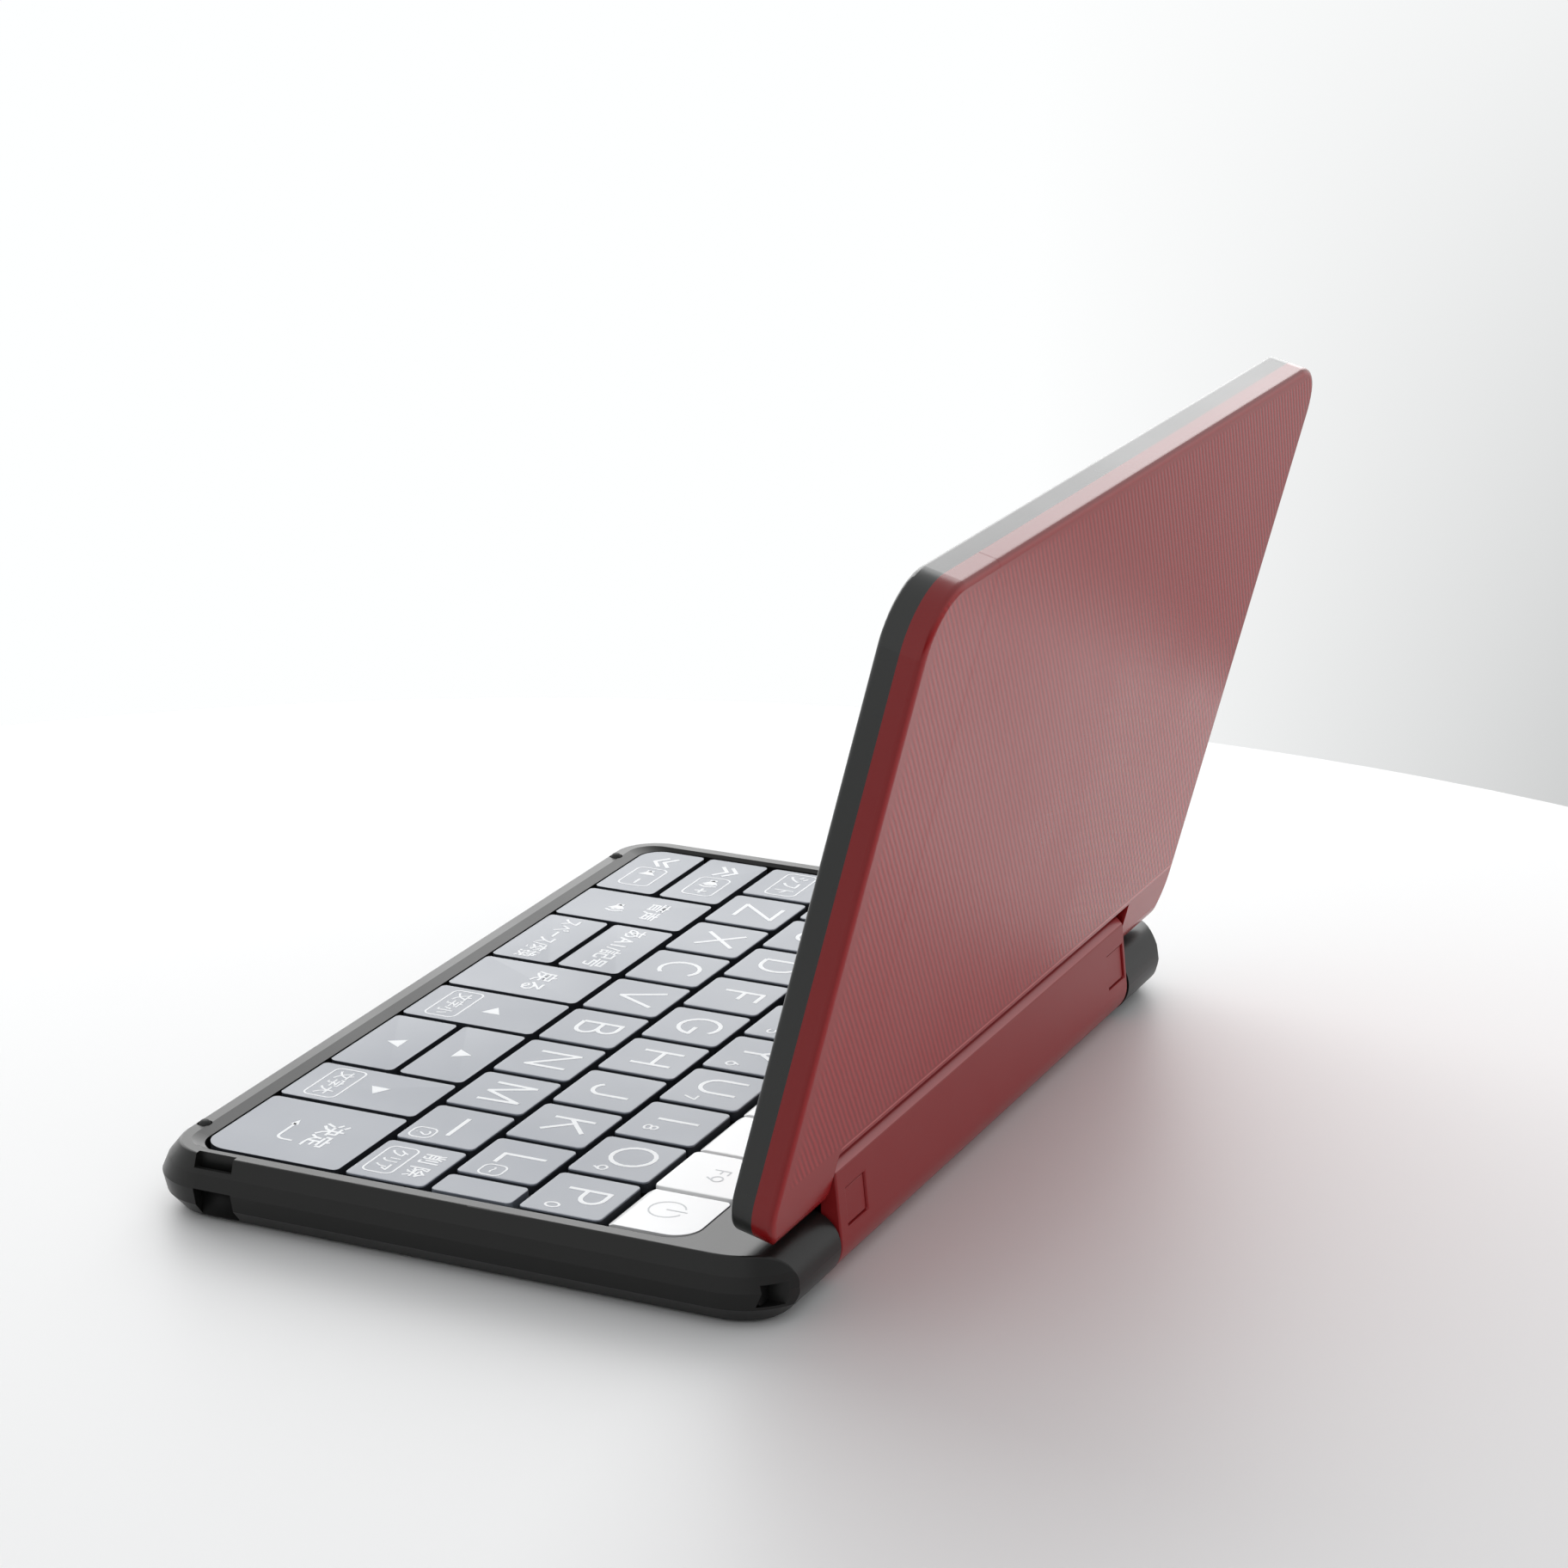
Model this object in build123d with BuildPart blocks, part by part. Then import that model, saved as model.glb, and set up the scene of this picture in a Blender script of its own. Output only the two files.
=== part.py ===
"""Electronic dictionary with a keyboard base, a two-axis hinge spine and a display lid.

Millimetres. X runs to the user's right, Y to the hinge and Z up. The origin is the centre of the base's
footprint, in the plane of the rubber feet. The lid is modelled open at lid_angle.
"""

import os
from math import cos, radians, sin, sqrt

from build123d import *

# ---------------------------------------------------------------- driving dimensions

# keyboard
key_columns = 10
key_pitch = 14.0
row_pitch = 13.45
front_block_depth = 21.9
key_gap = 1.1
key_edge_gap_x = 1.0
key_edge_gap_y = 0.6
key_corner = 0.9
key_bevel_depth = 1.0
key_bevel_drop = 0.5
key_cap_height = 1.6
key_sink = 0.3
key_travel = 0.6
travel_margin = 0.1
stem_width = 4.0
stem_depth = 3.0
stem_clearance = 0.15
flange_lip = 0.6
flange_height = 0.45
flange_gap = 0.1

# keyboard support
frame_height = 0.7
frame_inset = 0.3
frame_bearing = 0.7
mat_height = 0.2
dome_height = 0.2
dome_radius = 2.0
dome_taper = 20.0
mat_gap = 0.05
board_height = 0.6
board_edge_gap = 4.6
board_post_radius = 1.6
board_post_inset = 3.0
board_edge_margin = 0.8
chip_height = 1.1
chip_size = 14.0
chip_corner = 0.5
memory_size = 9.0

# base case
foot_height = 0.5
base_body_height = 9.8
rim_width = 2.5
rim_edge_round = 0.4
wall_lean = 1.2
front_lean = 3.5
wall_bulge_height = 2.3
wall_bulge_inset = 0.3
front_bulge_inset = 1.2
hem_inset = 2.6
waist_height = 2.6
waist_inset = 0.6
front_lip = 3.55
lip_facet_depth = 1.75
lip_facet_side = 0.55
lip_facet_drop = 0.5
rear_deck = 4.5
deck_corner = 4.5
front_corner = 9.5
rear_corner = 11.0
rear_overrun = 1.0
floor_height = 1.2
wall_width = 1.65
side_wall_width = 3.2
lower_wall_extra = 1.2
cavity_corner = 4.5

# hinge
spine_lower_radius = 4.8
spine_upper_radius = 3.9
spine_half_width = 53.9
spine_side_gap = 0.5
spine_wall_gap = 0.3
spine_facet_start = 28.0
spine_facet_end = 72.0
cable_way_depth = 3.0
cable_way_height = 3.6
roll_gap = 0.6
pin_radius = 1.5
pin_clearance = 0.05
pin_in_spine = 9.0
pin_from_stylus = 3.85
pin_end_gap = 0.3

# lid
lid_angle = 104.5
lid_half_thickness = 3.25
lid_front_setback = 1.25
lid_side_setback = 0.35
lid_corner = 8.5
lid_edge_round = 1.0
bezel_edge_round = 0.7
lid_wall = 1.4
lid_face_wall = 1.1
ear_corner = 1.5
lip_clearance = 1.8
ear_block = 8.0
glass_side_margin = 6.4
glass_top_margin = 7.0
glass_bottom_margin = 9.0
glass_height = 1.1
glass_sink = 0.2
glass_gap = 0.15
glass_ledge = 3.0
display_height = 3.2
display_gap = 0.3

# battery, speaker, socket and stylus
battery_width = 60.0
battery_depth = 52.0
battery_centre_x = 30.0
battery_centre_y = -3.0
battery_gap = 0.2
battery_corner = 2.0
cover_height = 0.7
cover_margin = 3.0
cover_corner = 2.0
cover_screw_head_height = 0.35
cover_screw_sink = 0.05
cover_gap = 0.2
cover_tab = 7.0
cover_screw_spread = 38.0
speaker_width = 16.0
speaker_depth = 11.0
speaker_height = 2.4
speaker_corner = 1.5
speaker_cone_depth = 0.8
speaker_cone_margin = 1.5
speaker_centre_x = -46.0
speaker_centre_y = 20.0
grille_slots = 6
grille_pitch = 2.0
grille_slot_width = 0.9
grille_slot_length = 8.0
socket_width = 7.6
socket_height = 2.6
socket_depth = 6.0
socket_shell = 0.35
socket_y = -8.0
socket_recess = 0.8
socket_gap = 0.15
tongue_height = 0.6
tongue_width = 4.8
stylus_width = 2.6
stylus_height = 3.0
stylus_length = 74.0
stylus_tip_length = 6.0
stylus_tip_width = 1.8
stylus_corner = 0.6
stylus_gap = 0.15
stylus_wall = 2.3
stylus_recess = 0.6
stylus_guide = 0.7
stylus_top_gap = 0.6

# strap bar
strap_notch_width = 6.0
strap_notch_depth = 2.2
strap_notch_from_front = 9.25
strap_bar_height = 2.9
strap_bar_drop = 1.9
strap_bar_width = 1.2

# fasteners and rubber
cut_overrun = 1.0
screw_radius = 0.8
screw_head_radius = 1.5
screw_head_height = 1.0
cross_reach = 0.8
cross_width = 0.4
cross_depth = 0.2
screw_clearance = 0.1
screw_thread_gap = 0.02
screw_grip = 3.2
boss_radius = 1.8
screw_inset_x = 14.0
screw_from_front = 4.4
screw_from_axis = 4.6
screw_from_bay = 6.6
screw_counterbore = 0.5
foot_width = 9.0
foot_depth = 4.0
foot_corner = 1.6
foot_seat = 0.3
foot_inset_x = 14.0
foot_inset_y = 14.5
foot_cover_gap = 1.0
bumper_width = 2.2
bumper_depth = 2.0
bumper_corner = 0.9
bumper_height = 0.5
bumper_seat = 0.5
bumper_from_side = 10.9
bumper_from_front = 4.55

# ---------------------------------------------------------------- worked-out places

key_depth = row_pitch - key_gap
keyboard_half_width = (key_columns * key_pitch - key_gap) / 2
opening_half_width = keyboard_half_width + key_edge_gap_x
keyboard_depth = front_block_depth + 4 * row_pitch
opening_depth = keyboard_depth + 2 * key_edge_gap_y

base_half_width = opening_half_width + rim_width + wall_lean
lug_radius = base_body_height / 2
hinge_zone = spine_wall_gap + spine_lower_radius + lug_radius
base_depth = front_lean + front_lip + opening_depth + rear_deck + hinge_zone
base_front = -base_depth / 2
opening_front = base_front + front_lean + front_lip
opening_back = opening_front + opening_depth
keyboard_front = opening_front + key_edge_gap_y
wall_back = opening_back + rear_deck
hinge_y = base_depth / 2 - lug_radius

base_bottom = foot_height
base_top = foot_height + base_body_height
lower_axis_z = base_top - lug_radius
parting_z = lower_axis_z
floor_top = base_bottom + floor_height

key_top = base_top - key_sink
key_bottom = key_top - key_cap_height
frame_top = key_bottom - key_travel - travel_margin
frame_bottom = frame_top - frame_height
flange_top = frame_bottom - flange_gap
flange_bottom = flange_top - flange_height
dome_top = flange_bottom - key_travel - travel_margin
mat_bottom = dome_top - dome_height - mat_height
board_top = mat_bottom - mat_gap
board_bottom = board_top - board_height

cavity_half_width = base_half_width - side_wall_width
cavity_front = base_front + wall_width + front_bulge_inset
cavity_back = wall_back - wall_width
lower_half_width = cavity_half_width - lower_wall_extra
lower_front = cavity_front + lower_wall_extra
board_half_width = cavity_half_width - board_edge_gap
board_front = opening_front + board_edge_margin
board_back = opening_back - board_edge_margin

upper_axis_z = lower_axis_z + lug_radius + roll_gap + lid_half_thickness
lug_inner_x = spine_half_width + spine_side_gap
pin_inner_x = spine_half_width - pin_in_spine

lid_half_width = base_half_width - lid_side_setback
lid_reach = hinge_y - base_front - lid_front_setback
notch_reach = spine_upper_radius + lip_clearance
lid_lean = radians(lid_angle - 90)
lid_inward = Vector(0, -cos(lid_lean), sin(lid_lean))
lid_plane = Plane(origin=(0, hinge_y, upper_axis_z), x_dir=(1, 0, 0), z_dir=lid_inward)
lid_centre_v = (lid_reach - lid_half_thickness) / 2
lid_length = lid_reach + lid_half_thickness

glass_width = 2 * (lid_half_width - glass_side_margin)
glass_low = glass_bottom_margin
glass_high = lid_reach - glass_top_margin
glass_face = lid_half_thickness - glass_sink
glass_back = glass_face - glass_height

stylus_x = base_half_width - stylus_wall - stylus_width / 2
pin_outer_x = stylus_x - stylus_width / 2 - pin_from_stylus
stylus_top = frame_bottom - stylus_top_gap
stylus_z = stylus_top - stylus_height / 2
stylus_corner_x = stylus_x + stylus_width / 2 - (base_half_width - rear_corner)
stylus_exit_y = base_depth / 2 + rear_overrun - rear_corner + sqrt(rear_corner**2 - stylus_corner_x**2)
stylus_back = stylus_exit_y - stylus_recess

cover_depth = battery_depth + 2 * cover_margin
cover_front = battery_centre_y - cover_depth / 2
cover_back = battery_centre_y + cover_depth / 2
cover_right = battery_centre_x + battery_width / 2 + cover_margin
cover_left = battery_centre_x - battery_width / 2 - cover_margin - cover_tab

strap_notch_y = base_front + strap_notch_from_front + strap_notch_width / 2
strap_bar_z = base_top - strap_bar_drop - strap_bar_height / 2

screw_front_y = base_front + screw_from_front
screw_back_y = hinge_y - screw_from_axis
screw_x = base_half_width - screw_inset_x
screw_back_x = lug_inner_x + screw_from_bay
case_screw_spots = [
    (-screw_x, screw_front_y),
    (0, screw_front_y),
    (screw_x, screw_front_y),
    (-screw_back_x, screw_back_y),
    (screw_back_x, screw_back_y),
]
cover_screw_x = cover_left + (cover_margin + cover_tab) / 2
cover_screw_spots = [
    (cover_screw_x, battery_centre_y - cover_screw_spread / 2),
    (cover_screw_x, battery_centre_y + cover_screw_spread / 2),
]

post_x = board_half_width - board_post_inset
board_posts = [
    (-post_x, board_front + board_post_inset),
    (-post_x, board_back - board_post_inset),
    (post_x, board_front + board_post_inset),
    (post_x, board_back - board_post_inset),
]
foot_x = base_half_width - foot_inset_x
foot_front_y = cover_front - cover_gap - foot_cover_gap - foot_depth / 2
foot_back_y = base_depth / 2 - foot_inset_y
foot_spots = [(x, y) for y in (foot_front_y, foot_back_y) for x in (-foot_x, foot_x)]
bumper_x = base_half_width - bumper_from_side
bumper_spots = [(-bumper_x, base_front + bumper_from_front), (bumper_x, base_front + bumper_from_front)]

# ---------------------------------------------------------------- key layout


def row_start(row):
    """Front edge of one of the four single rows behind the front block."""
    return keyboard_front + front_block_depth + key_gap + row * row_pitch


def column_x(column):
    return (column - key_columns / 2) * key_pitch


def key_box(first_column, last_column, front, back):
    """Low x, high x, low y and high y of a key between two column lines."""
    return (column_x(first_column) + key_gap / 2, column_x(last_column) - key_gap / 2, front, back)


block_back = keyboard_front + front_block_depth
half_block = (front_block_depth - key_gap) / 2
half_front = keyboard_front + half_block
half_back = block_back - half_block

front_keys = {
    "page_down": key_box(0, 1.5, keyboard_front, half_front),
    "page_up": key_box(0, 1.5, half_back, block_back),
    "sound": key_box(1.5, 2.5, keyboard_front, block_back),
    "space": key_box(2.5, 4, keyboard_front, half_front),
    "mode": key_box(2.5, 4, half_back, block_back),
    "back": key_box(4, 5, keyboard_front, block_back),
    "left": key_box(5, 6, keyboard_front, block_back),
    "down": key_box(6, 7.5, keyboard_front, half_front),
    "up": key_box(6, 7.5, half_back, block_back),
    "right": key_box(7.5, 8.5, keyboard_front, block_back),
    "enter": key_box(8.5, 10, keyboard_front, block_back),
}

letter_rows = [
    (0, ["shift", "z", "x", "c", "v", "b", "n", "m", "dash", "delete"]),
    (0.5, ["a", "s", "d", "f", "g", "h", "j", "k", "l"]),
    (0, ["q", "w", "e", "r", "t", "y", "u", "i", "o", "p"]),
]
letter_keys = {
    name: key_box(first + n, first + n + 1, row_start(row), row_start(row) + key_depth)
    for row, (first, names) in enumerate(letter_rows)
    for n, name in enumerate(names)
}

white_front = row_start(3)
white_back = white_front + key_depth
power_key = key_box(key_columns - 1, key_columns, white_front, white_back)
function_keys = [key_box(n, n + 1, white_front, white_back) for n in range(key_columns - 1)]
fillers = [
    key_box(0, 0.5, row_start(1), row_start(1) + key_depth),
    key_box(key_columns - 0.5, key_columns, row_start(1), row_start(1) + key_depth),
]


def middle(box):
    return ((box[0] + box[1]) / 2, (box[2] + box[3]) / 2)


def around(spot, width, depth):
    """Low x, high x, low y and high y of a rectangle about its middle."""
    return (spot[0] - width / 2, spot[0] + width / 2, spot[1] - depth / 2, spot[1] + depth / 2)


all_keys = list(front_keys.values()) + list(letter_keys.values()) + function_keys + [power_key]
key_middles = [middle(box) for box in all_keys]

# ---------------------------------------------------------------- shared shapes


def case_outline(inset, front_inset):
    """Plan of the base case, inset from its widest line. It overruns the lugs, which a prism rounds."""
    low = base_front + front_inset
    high = base_depth / 2 + rear_overrun - inset
    with Locations((0, (low + high) / 2)):
        Rectangle(2 * (base_half_width - inset), high - low)
    corners = vertices().sort_by(Axis.Y)
    fillet(corners[:2], front_corner - (inset + front_inset) / 2)
    fillet(vertices().sort_by(Axis.Y)[-2:], rear_corner - inset)


def lug_profile():
    """Side view of the base: flat top and bottom, with a full round about the lower hinge axis."""
    low = base_bottom
    overhang = hinge_y + sqrt(lug_radius**2 - (lower_axis_z - low) ** 2)
    with BuildLine() as profile:
        start = (base_front - wall_lean, base_top)
        Polyline((overhang, low), (base_front - wall_lean, low), start, (hinge_y, base_top))
        ThreePointArc((hinge_y, base_top), (hinge_y + lug_radius, lower_axis_z), (overhang, low))
    make_face(profile.edges())


def bore_both_sides(y, z, low_x, high_x, radius, mode=Mode.SUBTRACT):
    """A bore or a pin along X on the right, and its mirror image on the left."""
    for plane_x in (low_x, -high_x):
        with BuildSketch(Plane.YZ.offset(plane_x)) as bore:
            with Locations((y, z)):
                Circle(radius)
        extrude(bore.sketch, amount=high_x - low_x, mode=mode)


def bore_ears(axis_z):
    """Blind running bores for the pins, open to the spine, in the lugs or the lid's ears."""
    bore = pin_radius + pin_clearance
    bore_both_sides(hinge_y, axis_z, lug_inner_x - cut_overrun, pin_outer_x + pin_end_gap, bore)


def block(low, high, mode=Mode.ADD):
    """A plain box between two corners."""
    size = [b - a for a, b in zip(low, high)]
    spot = [(a + b) / 2 for a, b in zip(low, high)]
    with Locations(tuple(spot)):
        Box(*size, mode=mode)


def plate(box, corner, low_z, high_z, mode=Mode.ADD):
    """An upright plate or pocket with rounded corners. box is low x, high x, low y and high y."""
    with BuildSketch(Plane.XY.offset(low_z)) as outline:
        with Locations(middle(box)):
            RectangleRounded(box[1] - box[0], box[3] - box[2], corner)
    extrude(outline.sketch, amount=high_z - low_z, mode=mode)


def post(spot, radius, low_z, high_z, mode=Mode.ADD):
    """An upright cylinder or hole."""
    with BuildSketch(Plane.XY.offset(low_z)) as outline:
        with Locations(spot):
            Circle(radius)
    extrude(outline.sketch, amount=high_z - low_z, mode=mode)


def save(piece, name):
    piece.part.label = name
    export_step(piece.part, f"parts/{name}.step")


# ---------------------------------------------------------------- base case


def shape_case_half(sections):
    """One half of the case: flared walls, the round lugs and the bay between them for the spine."""
    outlines = []
    for z, inset, front_inset in sections:
        with BuildSketch(Plane.XY.offset(z)) as outline:
            case_outline(inset, front_inset)
        outlines.append(outline.sketch)
    loft(outlines, ruled=True)
    with BuildSketch(Plane.YZ) as side_view:
        lug_profile()
    extrude(side_view.sketch, amount=base_half_width + wall_lean, both=True, mode=Mode.INTERSECT)
    reach = base_depth / 2 + rear_overrun
    bay_top = base_top + cut_overrun
    block((-lug_inner_x, wall_back, 0), (lug_inner_x, reach, bay_top), Mode.SUBTRACT)


def cut_case_holes():
    """Holes that both halves share: the pin bores, the stylus channel and the strap notch."""
    bore_ears(lower_axis_z)
    side = stylus_width / 2 + stylus_gap
    rise = stylus_height / 2 + stylus_gap
    low = (stylus_x - side, stylus_back - stylus_length - stylus_gap, stylus_z - rise)
    high = (stylus_x + side, base_depth / 2 + rear_overrun, stylus_z + rise)
    block(low, high, Mode.SUBTRACT)
    inner = base_half_width - strap_notch_depth
    outer = base_half_width + cut_overrun
    front = strap_notch_y - strap_notch_width / 2
    back = strap_notch_y + strap_notch_width / 2
    bar_low = strap_bar_z - strap_bar_height / 2
    bar_high = strap_bar_z + strap_bar_height / 2
    block((inner, front, bar_high), (outer, back, base_top + cut_overrun), Mode.SUBTRACT)
    block((inner, front, 0), (outer, back, bar_low), Mode.SUBTRACT)
    block((inner, front, bar_low), (base_half_width - strap_bar_width, back, bar_high), Mode.SUBTRACT)


def is_outside(edge):
    """Whether an edge of the rim runs along the outside of the case, not along the spine's bay."""
    spot = edge.center()
    return abs(spot.X) > opening_half_width or spot.Y < opening_front


def cut_lip_facet():
    """Slope from the rim down to the keyboard opening, broad at the front and narrow at the sides."""
    slopes = []
    for z, side, front in (
        (base_top - lip_facet_drop, 0, 0),
        (base_top, lip_facet_side, lip_facet_depth),
    ):
        with BuildSketch(Plane.XY.offset(z)) as outline:
            with Locations((0, (opening_front - front + opening_back) / 2)):
                RectangleRounded(2 * (opening_half_width + side), opening_depth + front, deck_corner)
        slopes.append(outline.sketch)
    loft(slopes, ruled=True, mode=Mode.SUBTRACT)


def base_top_case():
    """Upper shell: keyboard opening, front lip, screw bosses and the upper half of the lugs."""
    with BuildPart() as top_case:
        bulge_z = parting_z + wall_bulge_height
        bulge = (bulge_z, wall_bulge_inset, front_bulge_inset)
        shape_case_half([(parting_z, 0, 0), bulge, (base_top, wall_lean, front_lean)])
        rim = faces().sort_by(Axis.Z)[-1].edges()
        fillet(rim.filter_by(is_outside), rim_edge_round)
        cavity = (-cavity_half_width, cavity_half_width, cavity_front, cavity_back)
        plate(cavity, cavity_corner, parting_z, frame_top, Mode.SUBTRACT)
        opening = (-opening_half_width, opening_half_width, opening_front, opening_back)
        plate(opening, deck_corner, frame_top, base_top, Mode.SUBTRACT)
        cut_lip_facet()
        for spot in case_screw_spots:
            if spot[1] < 0:
                post(spot, boss_radius, parting_z, frame_top)
            post(spot, screw_radius + screw_thread_gap, parting_z, parting_z + screw_grip, Mode.SUBTRACT)
        for spot in bumper_spots:
            seat = base_top - bumper_seat
            plate(around(spot, bumper_width, bumper_depth), bumper_corner, seat, base_top, Mode.SUBTRACT)
        cut_case_holes()
    save(top_case, "base_top_case")


def base_bottom_case():
    """Lower shell: floor with the battery bay and speaker grille, posts, bosses and the stylus shelf."""
    with BuildPart() as bottom_case:
        waist_z = parting_z - waist_height
        waist = (waist_z, waist_inset, waist_inset)
        shape_case_half([(parting_z, 0, 0), waist, (base_bottom, hem_inset, hem_inset)])
        hollow = (-lower_half_width, lower_half_width, lower_front, cavity_back)
        plate(hollow, cavity_corner, floor_top, parting_z, Mode.SUBTRACT)
        for spot in case_screw_spots:
            if spot[1] < 0:
                post(spot, boss_radius, floor_top, parting_z)
        for spot in board_posts:
            post(spot, board_post_radius, floor_top, board_bottom)
        for spot in cover_screw_spots:
            post(spot, boss_radius, floor_top, board_bottom)
        shelf_x = stylus_x - stylus_width / 2 - stylus_gap - stylus_guide
        shelf_front = stylus_back - stylus_length
        block((shelf_x, shelf_front, floor_top), (lower_half_width, cavity_back, parting_z))
        cut_battery_bay()
        cut_grille()
        cut_socket_window()
        for spot in case_screw_spots:
            head_top = base_bottom + screw_counterbore + screw_head_height
            post(spot, screw_head_radius + screw_clearance, base_bottom, head_top, Mode.SUBTRACT)
            post(spot, screw_radius + screw_clearance, head_top, parting_z, Mode.SUBTRACT)
        for spot in foot_spots:
            foot = around(spot, foot_width, foot_depth)
            plate(foot, foot_corner, base_bottom, base_bottom + foot_seat, Mode.SUBTRACT)
        cut_case_holes()
    save(bottom_case, "base_bottom_case")


def cut_battery_bay():
    """Stepped opening: a shallow recess for the cover and a bay for the battery."""
    recess_top = base_bottom + cover_height
    low_y = cover_front - cover_gap
    high_y = cover_back + cover_gap
    recess = (cover_left - cover_gap, cover_right + cover_gap, low_y, high_y)
    plate(recess, cover_corner, base_bottom, recess_top, Mode.SUBTRACT)
    bay_width = battery_width + 2 * battery_gap
    bay = around((battery_centre_x, battery_centre_y), bay_width, battery_depth + 2 * battery_gap)
    plate(bay, battery_corner, recess_top, floor_top, Mode.SUBTRACT)
    for spot in cover_screw_spots:
        post(spot, screw_radius + screw_thread_gap, recess_top, board_bottom, Mode.SUBTRACT)


def cut_grille():
    with BuildSketch(Plane.XY.offset(base_bottom)) as slots:
        with Locations((speaker_centre_x, speaker_centre_y)):
            with GridLocations(grille_pitch, 0, grille_slots, 1):
                SlotOverall(grille_slot_length, grille_slot_width, rotation=90)
    extrude(slots.sketch, amount=floor_height, mode=Mode.SUBTRACT)


def cut_socket_window():
    side = socket_width / 2 + socket_gap
    low = (-base_half_width - cut_overrun, socket_y - side, board_bottom - socket_height - socket_gap)
    high = (-lower_half_width + cut_overrun, socket_y + side, board_bottom + socket_gap)
    block(low, high, Mode.SUBTRACT)


# ---------------------------------------------------------------- keyboard


def key_frame():
    """Guide plate under the keys, with a hole for each stem and the two blank fillers."""
    with BuildPart() as frame:
        half_width = cavity_half_width - frame_inset
        rim = (-half_width, half_width, opening_front - frame_bearing, cavity_back - frame_inset)
        plate(rim, cavity_corner, frame_bottom, frame_top)
        with BuildSketch(Plane.XY.offset(frame_bottom)):
            with Locations(*key_middles):
                Rectangle(stem_width + 2 * stem_clearance, stem_depth + 2 * stem_clearance)
        extrude(amount=frame_height, mode=Mode.SUBTRACT)
        for box in fillers:
            plate(box, key_corner, frame_top, key_top)
    save(frame, "key_frame")


def key_mat():
    """Silicone sheet on the board, with a dome under each stem."""
    with BuildPart() as mat:
        sheet = (-board_half_width, board_half_width, board_front, board_back)
        plate(sheet, key_corner, mat_bottom, mat_bottom + mat_height)
        with BuildSketch(Plane.XY.offset(mat_bottom + mat_height)):
            with Locations(*key_middles):
                Circle(dome_radius)
        extrude(amount=dome_height, taper=dome_taper)
    save(mat, "key_mat")


def shape_key(box, round_corner, beveled):
    """A key cap, its stem through the key frame and the flange that stops it."""
    with BuildSketch(Plane.XY.offset(key_bottom)) as outline:
        with Locations(middle(box)):
            Rectangle(box[1] - box[0], box[3] - box[2])
        outer = [v for v in vertices() if near_corner(v, round_corner)]
        fillet([v for v in vertices() if v not in outer], key_corner)
        outer = [v for v in vertices() if near_corner(v, round_corner)]
        if outer:
            fillet(outer, deck_corner - key_edge_gap_y)
    extrude(outline.sketch, amount=key_cap_height)
    if beveled:
        with BuildSketch(Plane.YZ.offset(box[0])) as bevel:
            with BuildLine():
                low = (box[2], key_top - key_bevel_drop)
                Polyline(low, (box[2] + key_bevel_depth, key_top), (box[2], key_top), close=True)
            make_face()
        extrude(bevel.sketch, amount=box[1] - box[0], mode=Mode.SUBTRACT)
    stem = around(middle(box), stem_width, stem_depth)
    block((stem[0], stem[2], flange_bottom), (stem[1], stem[3], key_bottom))
    flange = around(middle(box), stem_width + 2 * flange_lip, stem_depth + 2 * flange_lip)
    block((flange[0], flange[2], flange_bottom), (flange[1], flange[3], flange_top))


def near_corner(vertex, corner):
    return corner is not None and abs(vertex.X - corner[0]) + abs(vertex.Y - corner[1]) < key_gap


def keys():
    """Every key that moves by itself, and the joined group of white function keys."""
    for name, box in {**front_keys, **letter_keys, "power": power_key}.items():
        corner = None
        if name == "page_down":
            corner = (box[0], box[2])
        if name == "enter":
            corner = (box[1], box[2])
        if name == "power":
            corner = (box[1], box[3])
        with BuildPart() as key:
            shape_key(box, corner, name in letter_keys)
        save(key, f"key_{name}")
    with BuildPart() as white_keys:
        for box in function_keys:
            corner = (box[0], box[3]) if box is function_keys[0] else None
            shape_key(box, corner, False)
    save(white_keys, "function_keys")


# ---------------------------------------------------------------- inside the base


def main_board():
    """Keyboard contacts on the top side, the processor, memory and socket tab on the left."""
    with BuildPart() as board:
        outline = (-board_half_width, board_half_width, board_front, board_back)
        plate(outline, key_corner, board_bottom, board_top)
        tab_side = socket_width / 2 + socket_gap
        tab_x = -lower_half_width + frame_inset
        block((tab_x, socket_y - tab_side, board_bottom), (-board_half_width, socket_y + tab_side, board_top))
        chip_z = board_bottom - chip_height
        chip_x = cover_left - chip_size
        processor = around((chip_x, battery_centre_y), chip_size, chip_size)
        memory_spot = (chip_x, battery_centre_y + chip_size / 2 + memory_size)
        memory = around(memory_spot, memory_size, memory_size)
        power_spot = (chip_x, battery_centre_y - chip_size / 2 - memory_size)
        power_chip = around(power_spot, memory_size, memory_size)
        for chip in (processor, memory, power_chip):
            plate(chip, chip_corner, chip_z, board_bottom)
    save(board, "main_board")


def battery():
    with BuildPart() as pack:
        box = around((battery_centre_x, battery_centre_y), battery_width, battery_depth)
        low_z = base_bottom + cover_height + battery_gap
        plate(box, battery_corner - battery_gap, low_z, board_bottom - battery_gap)
    save(pack, "battery_pack")


def battery_cover():
    """Flush cover with two countersunk screw holes."""
    with BuildPart() as cover:
        box = (cover_left, cover_right, cover_front, cover_back)
        plate(box, cover_corner - cover_gap, base_bottom, base_bottom + cover_height)
        head_top = base_bottom + cover_screw_sink + cover_screw_head_height
        for spot in cover_screw_spots:
            post(spot, screw_head_radius + screw_clearance, base_bottom, head_top, Mode.SUBTRACT)
            post(spot, screw_radius + screw_clearance, head_top, base_bottom + cover_height, Mode.SUBTRACT)
    save(cover, "battery_cover")


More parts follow.
